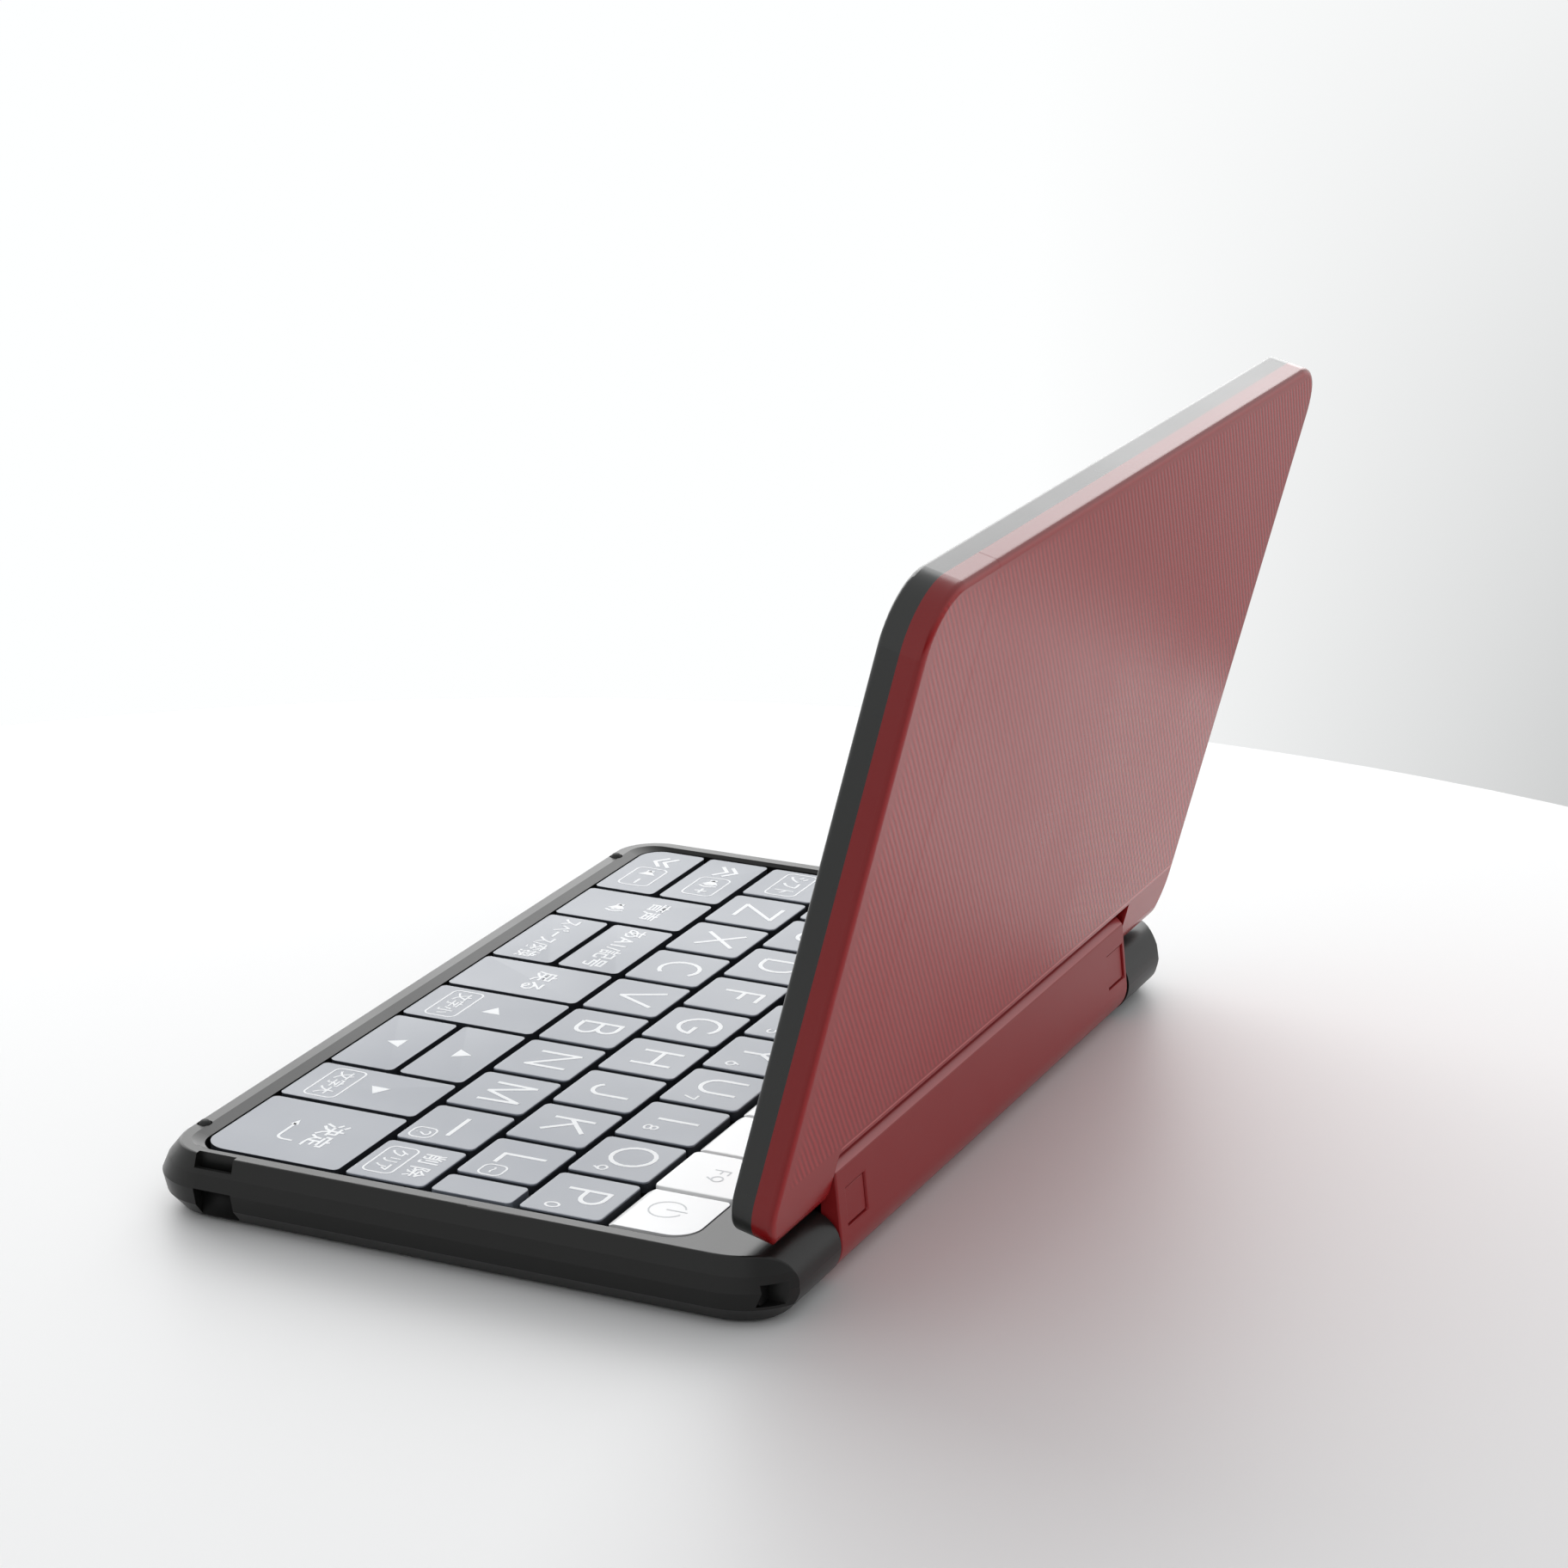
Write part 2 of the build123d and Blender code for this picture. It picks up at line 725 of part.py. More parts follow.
def speaker():
    """Small closed-back speaker that faces the grille."""
    with BuildPart() as driver:
        box = around((speaker_centre_x, speaker_centre_y), speaker_width, speaker_depth)
        plate(box, speaker_corner, floor_top, floor_top + speaker_height)
        margin = 2 * speaker_cone_margin
        with BuildSketch(Plane.XY.offset(floor_top)):
            with Locations((speaker_centre_x, speaker_centre_y)):
                SlotOverall(speaker_width - margin, speaker_depth - margin)
        extrude(amount=speaker_cone_depth, mode=Mode.SUBTRACT)
    save(driver, "speaker")


def charge_socket():
    """Metal shell with a tongue, open to the left side."""
    with BuildPart() as socket:
        face_x = -base_half_width + waist_inset + socket_recess
        high_z = board_bottom
        low_z = high_z - socket_height
        side = socket_width / 2
        block((face_x, socket_y - side, low_z), (face_x + socket_depth, socket_y + side, high_z))
        inner = side - socket_shell
        low = (face_x, socket_y - inner, low_z + socket_shell)
        high = (face_x + socket_depth - socket_shell, socket_y + inner, high_z - socket_shell)
        block(low, high, Mode.SUBTRACT)
        middle_z = (low_z + high_z) / 2
        tongue_side = tongue_width / 2
        low = (face_x + socket_recess, socket_y - tongue_side, middle_z - tongue_height / 2)
        block(low, (face_x + socket_depth, socket_y + tongue_side, middle_z + tongue_height / 2))
    save(socket, "charge_socket")


def shape_screw(spot, low_z, head_height, tip_z):
    """A pan-head screw from below, with a cross recess."""
    post(spot, screw_head_radius, low_z, low_z + head_height)
    post(spot, screw_radius, low_z + head_height, tip_z)
    for size_x, size_y in ((2 * cross_reach, cross_width), (cross_width, 2 * cross_reach)):
        arm = around(spot, size_x, size_y)
        high = (arm[1], arm[3], low_z + cross_depth)
        block((arm[0], arm[2], low_z), high, Mode.SUBTRACT)


def case_screws():
    with BuildPart() as screws:
        for spot in case_screw_spots:
            tip_z = parting_z + screw_grip - screw_clearance
            shape_screw(spot, base_bottom + screw_counterbore, screw_head_height, tip_z)
        for spot in cover_screw_spots:
            low_z = base_bottom + cover_screw_sink
            shape_screw(spot, low_z, cover_screw_head_height, board_bottom - screw_clearance)
    save(screws, "case_screws")


def rubber_feet():
    """Four feet under the base and the two bumpers on the front lip."""
    with BuildPart() as rubber:
        for spot in foot_spots:
            foot = around(spot, foot_width, foot_depth)
            plate(foot, foot_corner, 0, base_bottom + foot_seat)
        for spot in bumper_spots:
            bumper = around(spot, bumper_width, bumper_depth)
            plate(bumper, bumper_corner, base_top - bumper_seat, base_top + bumper_height)
    save(rubber, "rubber_feet")


def stylus():
    """Flat stylus with a tapered tip, stored in the right side wall."""
    with BuildPart() as pen:
        body_front = stylus_back - stylus_length + stylus_tip_length
        back_plane = Plane(origin=(stylus_x, stylus_back, stylus_z), x_dir=(1, 0, 0), z_dir=(0, -1, 0))
        with BuildSketch(back_plane):
            RectangleRounded(stylus_width, stylus_height, stylus_corner)
        extrude(amount=stylus_back - body_front)
        with BuildSketch(back_plane.offset(stylus_back - body_front)):
            RectangleRounded(stylus_width, stylus_height, stylus_corner)
        with BuildSketch(back_plane.offset(stylus_length)):
            RectangleRounded(stylus_tip_width, stylus_tip_width, stylus_corner)
        loft()
    save(pen, "stylus")


# ---------------------------------------------------------------- hinge


def rounded_point(centre, radius, angle):
    return (centre[0] + radius * cos(radians(angle)), centre[1] + radius * sin(radians(angle)))


def hinge_spine():
    """Bar that joins the two axes, with a flat facet at its top and a way through for the cable."""
    lower = (hinge_y, lower_axis_z)
    upper = (hinge_y, upper_axis_z)
    lean = degrees_of((spine_lower_radius - spine_upper_radius) / (upper_axis_z - lower_axis_z))
    facet_radius = spine_upper_radius / cos(radians(spine_facet_start - lean))
    facet_start = rounded_point(upper, facet_radius, spine_facet_start)
    facet_end = rounded_point(upper, spine_upper_radius, spine_facet_end)
    upper_front = rounded_point(upper, spine_upper_radius, 180 - lean)
    crown = rounded_point(upper, spine_upper_radius, (spine_facet_end + 180 - lean) / 2)
    lower_front = rounded_point(lower, spine_lower_radius, 180 - lean)
    lower_back = rounded_point(lower, spine_lower_radius, lean)
    keel = rounded_point(lower, spine_lower_radius, 270)
    with BuildPart() as spine:
        with BuildSketch(Plane.YZ):
            with BuildLine():
                Polyline(lower_back, facet_start, facet_end)
                ThreePointArc(facet_end, crown, upper_front)
                Line(upper_front, lower_front)
                ThreePointArc(lower_front, keel, lower_back)
            make_face()
        extrude(amount=spine_half_width, both=True)
        with BuildSketch(Plane.YZ):
            with Locations((hinge_y, (lower_axis_z + upper_axis_z) / 2)):
                Rectangle(cable_way_depth, cable_way_height)
        extrude(amount=spine_half_width, both=True, mode=Mode.SUBTRACT)
        for axis_z in (lower_axis_z, upper_axis_z):
            bore_both_sides(hinge_y, axis_z, pin_inner_x, spine_half_width, pin_radius)
    save(spine, "hinge_spine")


def degrees_of(sine):
    """Angle whose sine is small, in degrees."""
    return Vector(1, 0, 0).get_angle(Vector(sqrt(1 - sine**2), sine, 0))


def hinge_pins():
    """Two pins on the lower axis and two on the upper axis, fixed in the spine."""
    with BuildPart() as pins:
        for axis_z in (lower_axis_z, upper_axis_z):
            bore_both_sides(hinge_y, axis_z, pin_inner_x, pin_outer_x, pin_radius, Mode.ADD)
    save(pins, "hinge_pins")


# ---------------------------------------------------------------- lid


def lid_outline():
    with Locations((0, lid_centre_v)):
        RectangleRounded(2 * lid_half_width, lid_length, lid_corner)


def finish_lid_shell():
    """Rounds the ears about the upper axis, opens the notch for the spine and bores the ears."""
    along_lid = (0, sin(lid_lean), cos(lid_lean))
    with BuildSketch(Plane(origin=(0, hinge_y, upper_axis_z), x_dir=along_lid, z_dir=(1, 0, 0))) as side_view:
        with BuildLine():
            t = lid_half_thickness
            far = lid_reach + t
            Polyline((0, t), (far, t), (far, -t), (0, -t))
            ThreePointArc((0, -t), (-t, 0), (0, t))
        make_face()
    extrude(side_view.sketch, amount=lid_half_width, both=True, mode=Mode.INTERSECT)
    with BuildSketch(lid_plane) as notch:
        notch_low = -2 * lid_half_thickness
        with Locations((0, (notch_low + notch_reach) / 2)):
            Rectangle(2 * lug_inner_x, notch_reach - notch_low)
    extrude(notch.sketch, amount=2 * lid_half_thickness, both=True, mode=Mode.SUBTRACT)
    bore_ears(upper_axis_z)


def lid_rectangle(width, low_v, high_v, corner, low_h, high_h, mode):
    """A plate or pocket in the lid. v runs up the lid from the hinge, h from its middle towards the user."""
    with BuildSketch(lid_plane.offset(low_h)) as outline:
        with Locations((0, (low_v + high_v) / 2)):
            RectangleRounded(width, high_v - low_v, corner)
    extrude(outline.sketch, amount=high_h - low_h, mode=mode)


def lid_rear_cover():
    """Outer half of the lid, with a broad round along its edge."""
    with BuildPart() as cover:
        with BuildSketch(lid_plane):
            lid_outline()
        extrude(amount=-lid_half_thickness)
        outer_face = faces().sort_by(Axis((0, hinge_y, upper_axis_z), lid_inward))[0]
        fillet(outer_face.edges(), lid_edge_round)
        inner_width = 2 * (lid_half_width - lid_wall)
        floor_h = lid_face_wall - lid_half_thickness
        corner = lid_corner - lid_wall
        lid_rectangle(inner_width, ear_block, lid_reach - lid_wall, corner, floor_h, 0, Mode.SUBTRACT)
        finish_lid_shell()
    save(cover, "lid_rear_cover")


def lid_front_bezel():
    """Inner half of the lid, with the window that holds the touch panel and the display."""
    with BuildPart() as bezel:
        with BuildSketch(lid_plane):
            lid_outline()
        extrude(amount=lid_half_thickness)
        inner_face = faces().sort_by(Axis((0, hinge_y, upper_axis_z), lid_inward))[-1]
        fillet(inner_face.edges(), bezel_edge_round)
        width = glass_width + 2 * glass_gap
        low = glass_low - glass_gap
        high = glass_high + glass_gap
        lid_rectangle(width, low, high, ear_corner, glass_back, lid_half_thickness, Mode.SUBTRACT)
        width = glass_width - 2 * glass_ledge
        low = glass_low + glass_ledge
        high = glass_high - glass_ledge
        lid_rectangle(width, low, high, ear_corner, 0, glass_back, Mode.SUBTRACT)
        finish_lid_shell()
    save(bezel, "lid_front_bezel")


def touch_panel():
    with BuildPart() as glass:
        lid_rectangle(glass_width, glass_low, glass_high, ear_corner, glass_back, glass_face, Mode.ADD)
    save(glass, "touch_panel")


def display_module():
    with BuildPart() as display:
        inset = glass_ledge + display_gap
        width = glass_width - 2 * inset
        low_h = glass_back - display_height
        lid_rectangle(width, glass_low + inset, glass_high - inset, ear_corner, low_h, glass_back, Mode.ADD)
    save(display, "display_module")


# ---------------------------------------------------------------- build

os.makedirs("parts", exist_ok=True)
base_top_case()
base_bottom_case()
key_frame()
key_mat()
keys()
main_board()
battery()
battery_cover()
speaker()
charge_socket()
case_screws()
rubber_feet()
stylus()
hinge_spine()
hinge_pins()
lid_rear_cover()
lid_front_bezel()
touch_panel()
display_module()
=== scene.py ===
import math
import bmesh
import bpy
from mathutils import Matrix, Vector


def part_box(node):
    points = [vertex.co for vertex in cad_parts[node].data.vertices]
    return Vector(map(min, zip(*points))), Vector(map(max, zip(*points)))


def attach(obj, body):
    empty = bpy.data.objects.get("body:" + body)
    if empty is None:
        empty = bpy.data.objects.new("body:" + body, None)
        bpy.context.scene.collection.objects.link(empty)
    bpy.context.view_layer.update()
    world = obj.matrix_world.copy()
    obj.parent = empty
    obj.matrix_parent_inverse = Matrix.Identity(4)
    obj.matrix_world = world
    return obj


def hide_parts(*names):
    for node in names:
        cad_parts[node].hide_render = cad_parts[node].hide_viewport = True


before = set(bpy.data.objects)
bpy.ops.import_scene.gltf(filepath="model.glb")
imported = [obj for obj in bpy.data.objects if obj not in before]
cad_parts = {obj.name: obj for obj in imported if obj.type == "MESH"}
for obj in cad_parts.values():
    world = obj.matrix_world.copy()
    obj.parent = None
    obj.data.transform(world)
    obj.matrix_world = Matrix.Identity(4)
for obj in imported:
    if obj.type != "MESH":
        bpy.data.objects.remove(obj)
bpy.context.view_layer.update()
mm = 0.001

# places in metres, lens and sensor in millimetres
cameraValues = {
    "place": (0.53487, 0.264415, 0.24243),
    "ahead": (-0.86184, -0.40119, -0.31028),
    "right": (-0.4221, 0.9066, 0.0003),
    "lens": 98.684,
    "sensor": 36,
    "nearest": 0.01,
}


def addCamera():
    data = bpy.data.cameras.new("viewCamera")
    data.lens = cameraValues["lens"]
    data.sensor_width = cameraValues["sensor"]
    data.clip_start = cameraValues["nearest"]
    camera = bpy.data.objects.new("viewCamera", data)
    bpy.context.scene.collection.objects.link(camera)
    ahead = Vector(cameraValues["ahead"]).normalized()
    right = Vector(cameraValues["right"])
    right = (right - ahead * right.dot(ahead)).normalized()
    up = right.cross(ahead)
    turn = Matrix((right, up, -ahead)).transposed().to_4x4()
    camera.matrix_world = Matrix.Translation(cameraValues["place"]) @ turn
    bpy.context.scene.camera = camera


stageValues = {
    "tableMiddle": (0.100, 0.011),
    "tableRadius": 0.295,
    "tableThickness": 0.03,
    "tableSegments": 160,
    "tableColour": (0.86, 0.855, 0.85),
    "tableRoughness": 0.5,
    "windowPlace": (-0.80, -0.62, 0.50),
    "windowSize": (1.7, 0.95),
    "windowPower": 11.5,
    "roomLight": 0.66,
    "roomColour": (0.97, 0.985, 1, 1),
    "wallColour": (0.99, 1, 1, 1),
    "wallDownward": (0.2812, 0.1312, -0.9506),
    # how fast the wall darkens, and where that starts, sideways and downward
    "wallSideways": (8.3, -0.48),
    "wallDrop": (1.4, 0.355),
}


def link(tree, fromSocket, toSocket):
    tree.links.new(fromSocket, toSocket)


def node(tree, kind, **settings):
    made = tree.nodes.new(kind)
    for name, value in settings.items():
        setattr(made, name, value)
    return made


def feed(tree, value, socket):
    # a value is a socket or a plain number
    if isinstance(value, (int, float)):
        socket.default_value = value
    else:
        link(tree, value, socket)


def maths(tree, operation, *values, clamp=False):
    made = node(tree, "ShaderNodeMath", operation=operation, use_clamp=clamp)
    for value, socket in zip(values, made.inputs):
        feed(tree, value, socket)
    return made.outputs[0]


def along(tree, place, direction):
    # how far a place lies in a direction
    made = node(tree, "ShaderNodeVectorMath", operation="DOT_PRODUCT")
    made.inputs[1].default_value = direction
    link(tree, place, made.inputs[0])
    return made.outputs["Value"]


def addWorld():
    world = bpy.data.worlds.new("pale room")
    bpy.context.scene.world = world
    world.use_nodes = True
    tree = world.node_tree
    tree.nodes.clear()
    place = node(tree, "ShaderNodeTexCoord").outputs["Generated"]
    sideways = along(tree, place, cameraValues["right"])
    downward = along(tree, place, stageValues["wallDownward"])
    # the far wall darkens a little towards one side, more so lower down
    across = maths(tree, "MULTIPLY_ADD", sideways, *stageValues["wallSideways"], clamp=True)
    drop = maths(tree, "MULTIPLY_ADD", downward, *stageValues["wallDrop"], clamp=True)
    wall = maths(tree, "SUBTRACT", 1.0, maths(tree, "MULTIPLY", across, drop))
    path = node(tree, "ShaderNodeLightPath")
    seen = maths(tree, "MAXIMUM", path.outputs["Is Camera Ray"], path.outputs["Is Glossy Ray"])
    seen = maths(tree, "MAXIMUM", seen, path.outputs["Is Transmission Ray"])
    shown = node(tree, "ShaderNodeBackground")
    shown.inputs["Color"].default_value = stageValues["wallColour"]
    link(tree, wall, shown.inputs["Strength"])
    lit = node(tree, "ShaderNodeBackground")
    lit.inputs["Color"].default_value = stageValues["roomColour"]
    lit.inputs["Strength"].default_value = stageValues["roomLight"]
    either = node(tree, "ShaderNodeMixShader")
    link(tree, seen, either.inputs[0])
    link(tree, lit.outputs[0], either.inputs[1])
    link(tree, shown.outputs[0], either.inputs[2])
    output = node(tree, "ShaderNodeOutputWorld")
    link(tree, either.outputs[0], output.inputs[0])


def addWindow():
    data = bpy.data.lights.new("windowLight", "AREA")
    data.shape = "RECTANGLE"
    data.size, data.size_y = stageValues["windowSize"]
    data.energy = stageValues["windowPower"]
    lamp = bpy.data.objects.new("windowLight", data)
    bpy.context.scene.collection.objects.link(lamp)
    place = Vector(stageValues["windowPlace"])
    lamp.location = place
    lamp.rotation_euler = (-place).to_track_quat("-Z", "Y").to_euler()


def newMaterial(name, colour, roughness, **extra):
    made = bpy.data.materials.new(name)
    made.use_nodes = True
    shader = made.node_tree.nodes["Principled BSDF"]
    shader.inputs["Base Color"].default_value = (*colour, 1)
    shader.inputs["Roughness"].default_value = roughness
    for socket, value in extra.items():
        shader.inputs[socket].default_value = value
    return made, made.node_tree, shader


# sizes in millimetres; the range is what the patch noise mostly stays in
grainValues = {
    "size": 0.25,
    "detail": 2,
    "patchSize": 30.0,
    "patchDetail": 3,
    "patchRange": (0.3, 0.7),
    "depth": 0.02,
}


def grainGroup():
    # fine moulded grain and slow patches, both over the object's own coordinates
    group = bpy.data.node_groups.new("mouldedGrain", "ShaderNodeTree")
    face = group.interface
    for name, value in (("Size", grainValues["size"]), ("Patch Size", grainValues["patchSize"])):
        socket = face.new_socket(name, in_out="INPUT", socket_type="NodeSocketFloat")
        socket.default_value = value
    for name in ("Height", "Patch"):
        face.new_socket(name, in_out="OUTPUT", socket_type="NodeSocketFloat")
    entry = node(group, "NodeGroupInput")
    leave = node(group, "NodeGroupOutput")
    place = node(group, "ShaderNodeTexCoord")
    for name, target, detail in (
        ("Size", "Height", grainValues["detail"]),
        ("Patch Size", "Patch", grainValues["patchDetail"]),
    ):
        noise = node(group, "ShaderNodeTexNoise")
        noise.inputs["Detail"].default_value = detail
        link(group, maths(group, "DIVIDE", 1 / mm, entry.outputs[name]), noise.inputs["Scale"])
        link(group, place.outputs["Object"], noise.inputs["Vector"])
        link(group, noise.outputs[0], leave.inputs[target])
    return group


grain = grainGroup()


def addBump(tree, height, strength, depth, target):
    bump = node(tree, "ShaderNodeBump")
    bump.inputs["Strength"].default_value = strength
    bump.inputs["Distance"].default_value = depth * mm
    link(tree, height, bump.inputs["Height"])
    link(tree, bump.outputs["Normal"], target)
    return bump


def addGrain(tree, shader, strength, low, high):
    # grain feeds the bump, patches feed the roughness
    used = node(tree, "ShaderNodeGroup", node_tree=grain)
    used.inputs["Size"].default_value = grainValues["size"]
    used.inputs["Patch Size"].default_value = grainValues["patchSize"]
    bump = addBump(tree, used.outputs["Height"], strength, grainValues["depth"], shader.inputs["Normal"])
    spread = node(tree, "ShaderNodeMapRange")
    start, end = grainValues["patchRange"]
    for name, value in (("From Min", start), ("From Max", end), ("To Min", low), ("To Max", high)):
        spread.inputs[name].default_value = value
    link(tree, used.outputs["Patch"], spread.inputs["Value"])
    link(tree, spread.outputs["Result"], shader.inputs["Roughness"])
    return bump


# lengths in millimetres, the lean in degrees from upright
lidValues = {
    "axisY": 44.325,
    "axisZ": 14.15,
    "lean": 14.5,
}

# ribs are counted per metre; places are in millimetres across, up and out of the lid
ribValues = {
    "across": 781,
    "along": -765,
    "wander": 0.3,
    "wanderScale": 260,
    # crests are painted lighter and valleys darker: painted light and shade of the ribs' relief
    "crestPaintedLight": (0.475, 0.0245, 0.0285),
    "valleyPaintedShade": (0.275, 0.013, 0.015),
    "plain": (0.35, 0.017, 0.019),
    "edge": (0.21, 0.003, 0.004),
    # pale painted highlight along the lip's rounded edge
    "lip": (0.62, 0.12, 0.12),
    "roughness": (0.2, 0.26),
    "specular": 0.42,
    "grain": 0.1,
    "depth": 0.05,
    "strength": 0.35,
    "leftFade": (-72.6, -70.6),
    "rightFade": (72.4, 68.4),
    "lowFade": (6.8, 7.4),
    "highFade": (91.2, 90.0),
    "lipFade": (6.1, 6.4),
    "lipOver": (6.75, 6.5),
    "lipUntil": (54.4, 53.9),
    "lipRise": 1.5,
    "faceFade": (2.7, 3.2),
}


def ramp(tree, value, fade):
    # goes from 0 at the fade's start to 1 at its end, and stays there
    made = node(tree, "ShaderNodeMapRange", interpolation_type="SMOOTHSTEP")
    made.inputs["From Min"].default_value = fade[0] * mm
    made.inputs["From Max"].default_value = fade[1] * mm
    link(tree, value, made.inputs["Value"])
    return made.outputs["Result"]


def blend(tree, amount, first, second):
    # mixes two colours, each a socket or a fixed colour
    mixed = node(tree, "ShaderNodeMix", data_type="RGBA")
    for socket, value in ((mixed.inputs[6], first), (mixed.inputs[7], second)):
        if isinstance(value, tuple):
            socket.default_value = (*value, 1)
        else:
            link(tree, value, socket)
    link(tree, amount, mixed.inputs[0])
    return mixed.outputs[2]


def ribbedMaterial():
    # painted cover with fine slanting ribs that stop short of its edges
    low, high = ribValues["roughness"]
    shine = {"Specular IOR Level": ribValues["specular"]}
    material, tree, shader = newMaterial("coverRibs", ribValues["crestPaintedLight"], high, **shine)
    place = node(tree, "ShaderNodeTexCoord").outputs["Object"]
    lean = math.radians(lidValues["lean"])
    axis = Vector((0, lidValues["axisY"], lidValues["axisZ"])) * mm
    up = Vector((0, math.sin(lean), math.cos(lean)))
    out = Vector((0, math.cos(lean), -math.sin(lean)))
    split = node(tree, "ShaderNodeSeparateXYZ")
    link(tree, place, split.inputs[0])
    sideways = split.outputs[0]
    height = maths(tree, "SUBTRACT", along(tree, place, up), up.dot(axis))
    outward = maths(tree, "SUBTRACT", along(tree, place, out), out.dot(axis))

    wander = node(tree, "ShaderNodeTexNoise")
    wander.inputs["Scale"].default_value = ribValues["wanderScale"]
    link(tree, place, wander.inputs["Vector"])
    drift = maths(tree, "MULTIPLY", wander.outputs[0], ribValues["wander"])
    steps = (ribValues["across"], *(ribValues["along"] * up.yz))
    turns = maths(tree, "MULTIPLY", maths(tree, "ADD", along(tree, place, steps), drift), 2 * math.pi)
    wave = maths(tree, "MULTIPLY_ADD", maths(tree, "SINE", turns), 0.5, 0.5)
    mask = ramp(tree, sideways, ribValues["leftFade"])
    for value, name in ((sideways, "rightFade"), (height, "lowFade"), (height, "highFade")):
        mask = maths(tree, "MULTIPLY", mask, ramp(tree, value, ribValues[name]))

    # a thin raised lip ends the ribbed field above the hinge, with a pale painted highlight along its rounded
    # edge
    lipSide = ramp(tree, sideways, ribValues["lipUntil"])
    lip = maths(tree, "MULTIPLY", ramp(tree, height, ribValues["lipFade"]), lipSide)
    lipHighlight = maths(tree, "MULTIPLY", lip, ramp(tree, height, ribValues["lipOver"]))
    onFace = ramp(tree, outward, ribValues["faceFade"])
    # painted light and shade of the ribs: lighter on the crests, darker in the valleys, beside the bump's real
    # relief
    paintedRibShading = blend(tree, wave, ribValues["valleyPaintedShade"], ribValues["crestPaintedLight"])
    field = blend(tree, mask, ribValues["plain"], paintedRibShading)
    field = blend(tree, lipHighlight, field, ribValues["lip"])
    link(tree, blend(tree, onFace, ribValues["edge"], field), shader.inputs["Base Color"])
    fine = addGrain(tree, shader, ribValues["grain"], low, high)
    ribs = maths(tree, "MULTIPLY_ADD", lip, ribValues["lipRise"], maths(tree, "MULTIPLY", wave, mask))
    addBump(tree, ribs, ribValues["strength"], ribValues["depth"], fine.inputs["Normal"])
    return material


# name: colour, lowest and highest roughness, grain, other shader values
finishValues = {
    "caseBlack": ((0.010, 0.010, 0.0095), 0.26, 0.36, 0.25, {"Specular IOR Level": 0.28}),
    "frameBlack": ((0.004, 0.004, 0.004), 0.55, 0.65, 0.1, {"Specular IOR Level": 0.2}),
    "bezelBlack": ((0.012, 0.013, 0.012), 0.24, 0.32, 0.15, {"Sheen Weight": 0.12, "Sheen Roughness": 0.3}),
    "keyGrey": ((0.19, 0.21, 0.25), 0.3, 0.38, 0.25, {}),
    "keyWhite": ((0.9, 0.9, 0.9), 0.3, 0.38, 0.1, {}),
    "keyShade": ((0.03, 0.033, 0.04), 0.4, 0.5, 0.2, {"Specular IOR Level": 0.2}),
    "printWhite": ((0.93, 0.94, 0.95), 0.5, 0.6, 0.05, {}),
    "printGrey": ((0.62, 0.63, 0.65), 0.5, 0.6, 0.05, {}),
    "domeRubber": ((0.3, 0.31, 0.32), 0.5, 0.6, 0.2, {}),
    "rubberBlack": ((0.015, 0.015, 0.015), 0.6, 0.75, 0.4, {}),
    "boardGreen": ((0.02, 0.14, 0.06), 0.35, 0.45, 0.2, {}),
    "batteryFoil": ((0.6, 0.6, 0.62), 0.3, 0.4, 0.2, {"Metallic": 1.0}),
    "steel": ((0.55, 0.55, 0.56), 0.25, 0.35, 0.2, {"Metallic": 1.0}),
    "spineRed": ((0.29, 0.014, 0.016), 0.3, 0.38, 0.1, {"Specular IOR Level": 0.35}),
    # painted highlight: a lighter, shinier copy of the spine's red for its upward facet
    "paintedFacetHighlight": ((0.42, 0.05, 0.055), 0.3, 0.36, 0.1, {"Specular IOR Level": 0.8}),
    "displayDark": ((0.01, 0.011, 0.013), 0.15, 0.2, 0.0, {}),
    "panelGlass": ((0.01, 0.01, 0.012), 0.05, 0.08, 0.0, {}),
}

slotFinishes = {
    "case_gloss": "caseBlack",
    "frame_black": "frameBlack",
    "bezel_black": "bezelBlack",
    "keys_grey": "keyGrey",
    "keys_white": "keyWhite",
    "mat_rubber": "domeRubber",
    "rubber_black": "rubberBlack",
    "board_green": "boardGreen",
    "battery_foil": "batteryFoil",
    "steel": "steel",
    "spine_red": "spineRed",
    "lid_red": "coverRibs",
    "panel_glass": "panelGlass",
    "display_dark": "displayDark",
}


def makeMaterials():
    made = {"coverRibs": ribbedMaterial()}
    for name, (colour, low, high, strength, extra) in finishValues.items():
        made[name], tree, shader = newMaterial(name, colour, high, **extra)
        addGrain(tree, shader, strength, low, high)
    return made


materials = makeMaterials()


def dressNodes():
    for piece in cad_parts.values():
        for slot in piece.material_slots:
            slot.material = materials[slotFinishes[slot.material.name.split(".")[0]]]


def addTable():
    builder = bmesh.new()
    segments, radius = stageValues["tableSegments"], stageValues["tableRadius"]
    bmesh.ops.create_circle(builder, cap_ends=True, segments=segments, radius=radius)
    rim = [edge for edge in builder.edges if edge.is_boundary]
    made = bmesh.ops.extrude_edge_only(builder, edges=rim)
    low = [v for v in made["geom"] if isinstance(v, bmesh.types.BMVert)]
    bmesh.ops.translate(builder, verts=low, vec=(0, 0, -stageValues["tableThickness"]))
    bmesh.ops.translate(builder, verts=builder.verts, vec=(*stageValues["tableMiddle"], 0))
    data = bpy.data.meshes.new("tableTop")
    builder.to_mesh(data)
    builder.free()
    white = newMaterial("tableWhite", stageValues["tableColour"], stageValues["tableRoughness"])[0]
    data.materials.append(white)
    table = bpy.data.objects.new("tableTop", data)
    bpy.context.scene.collection.objects.link(table)


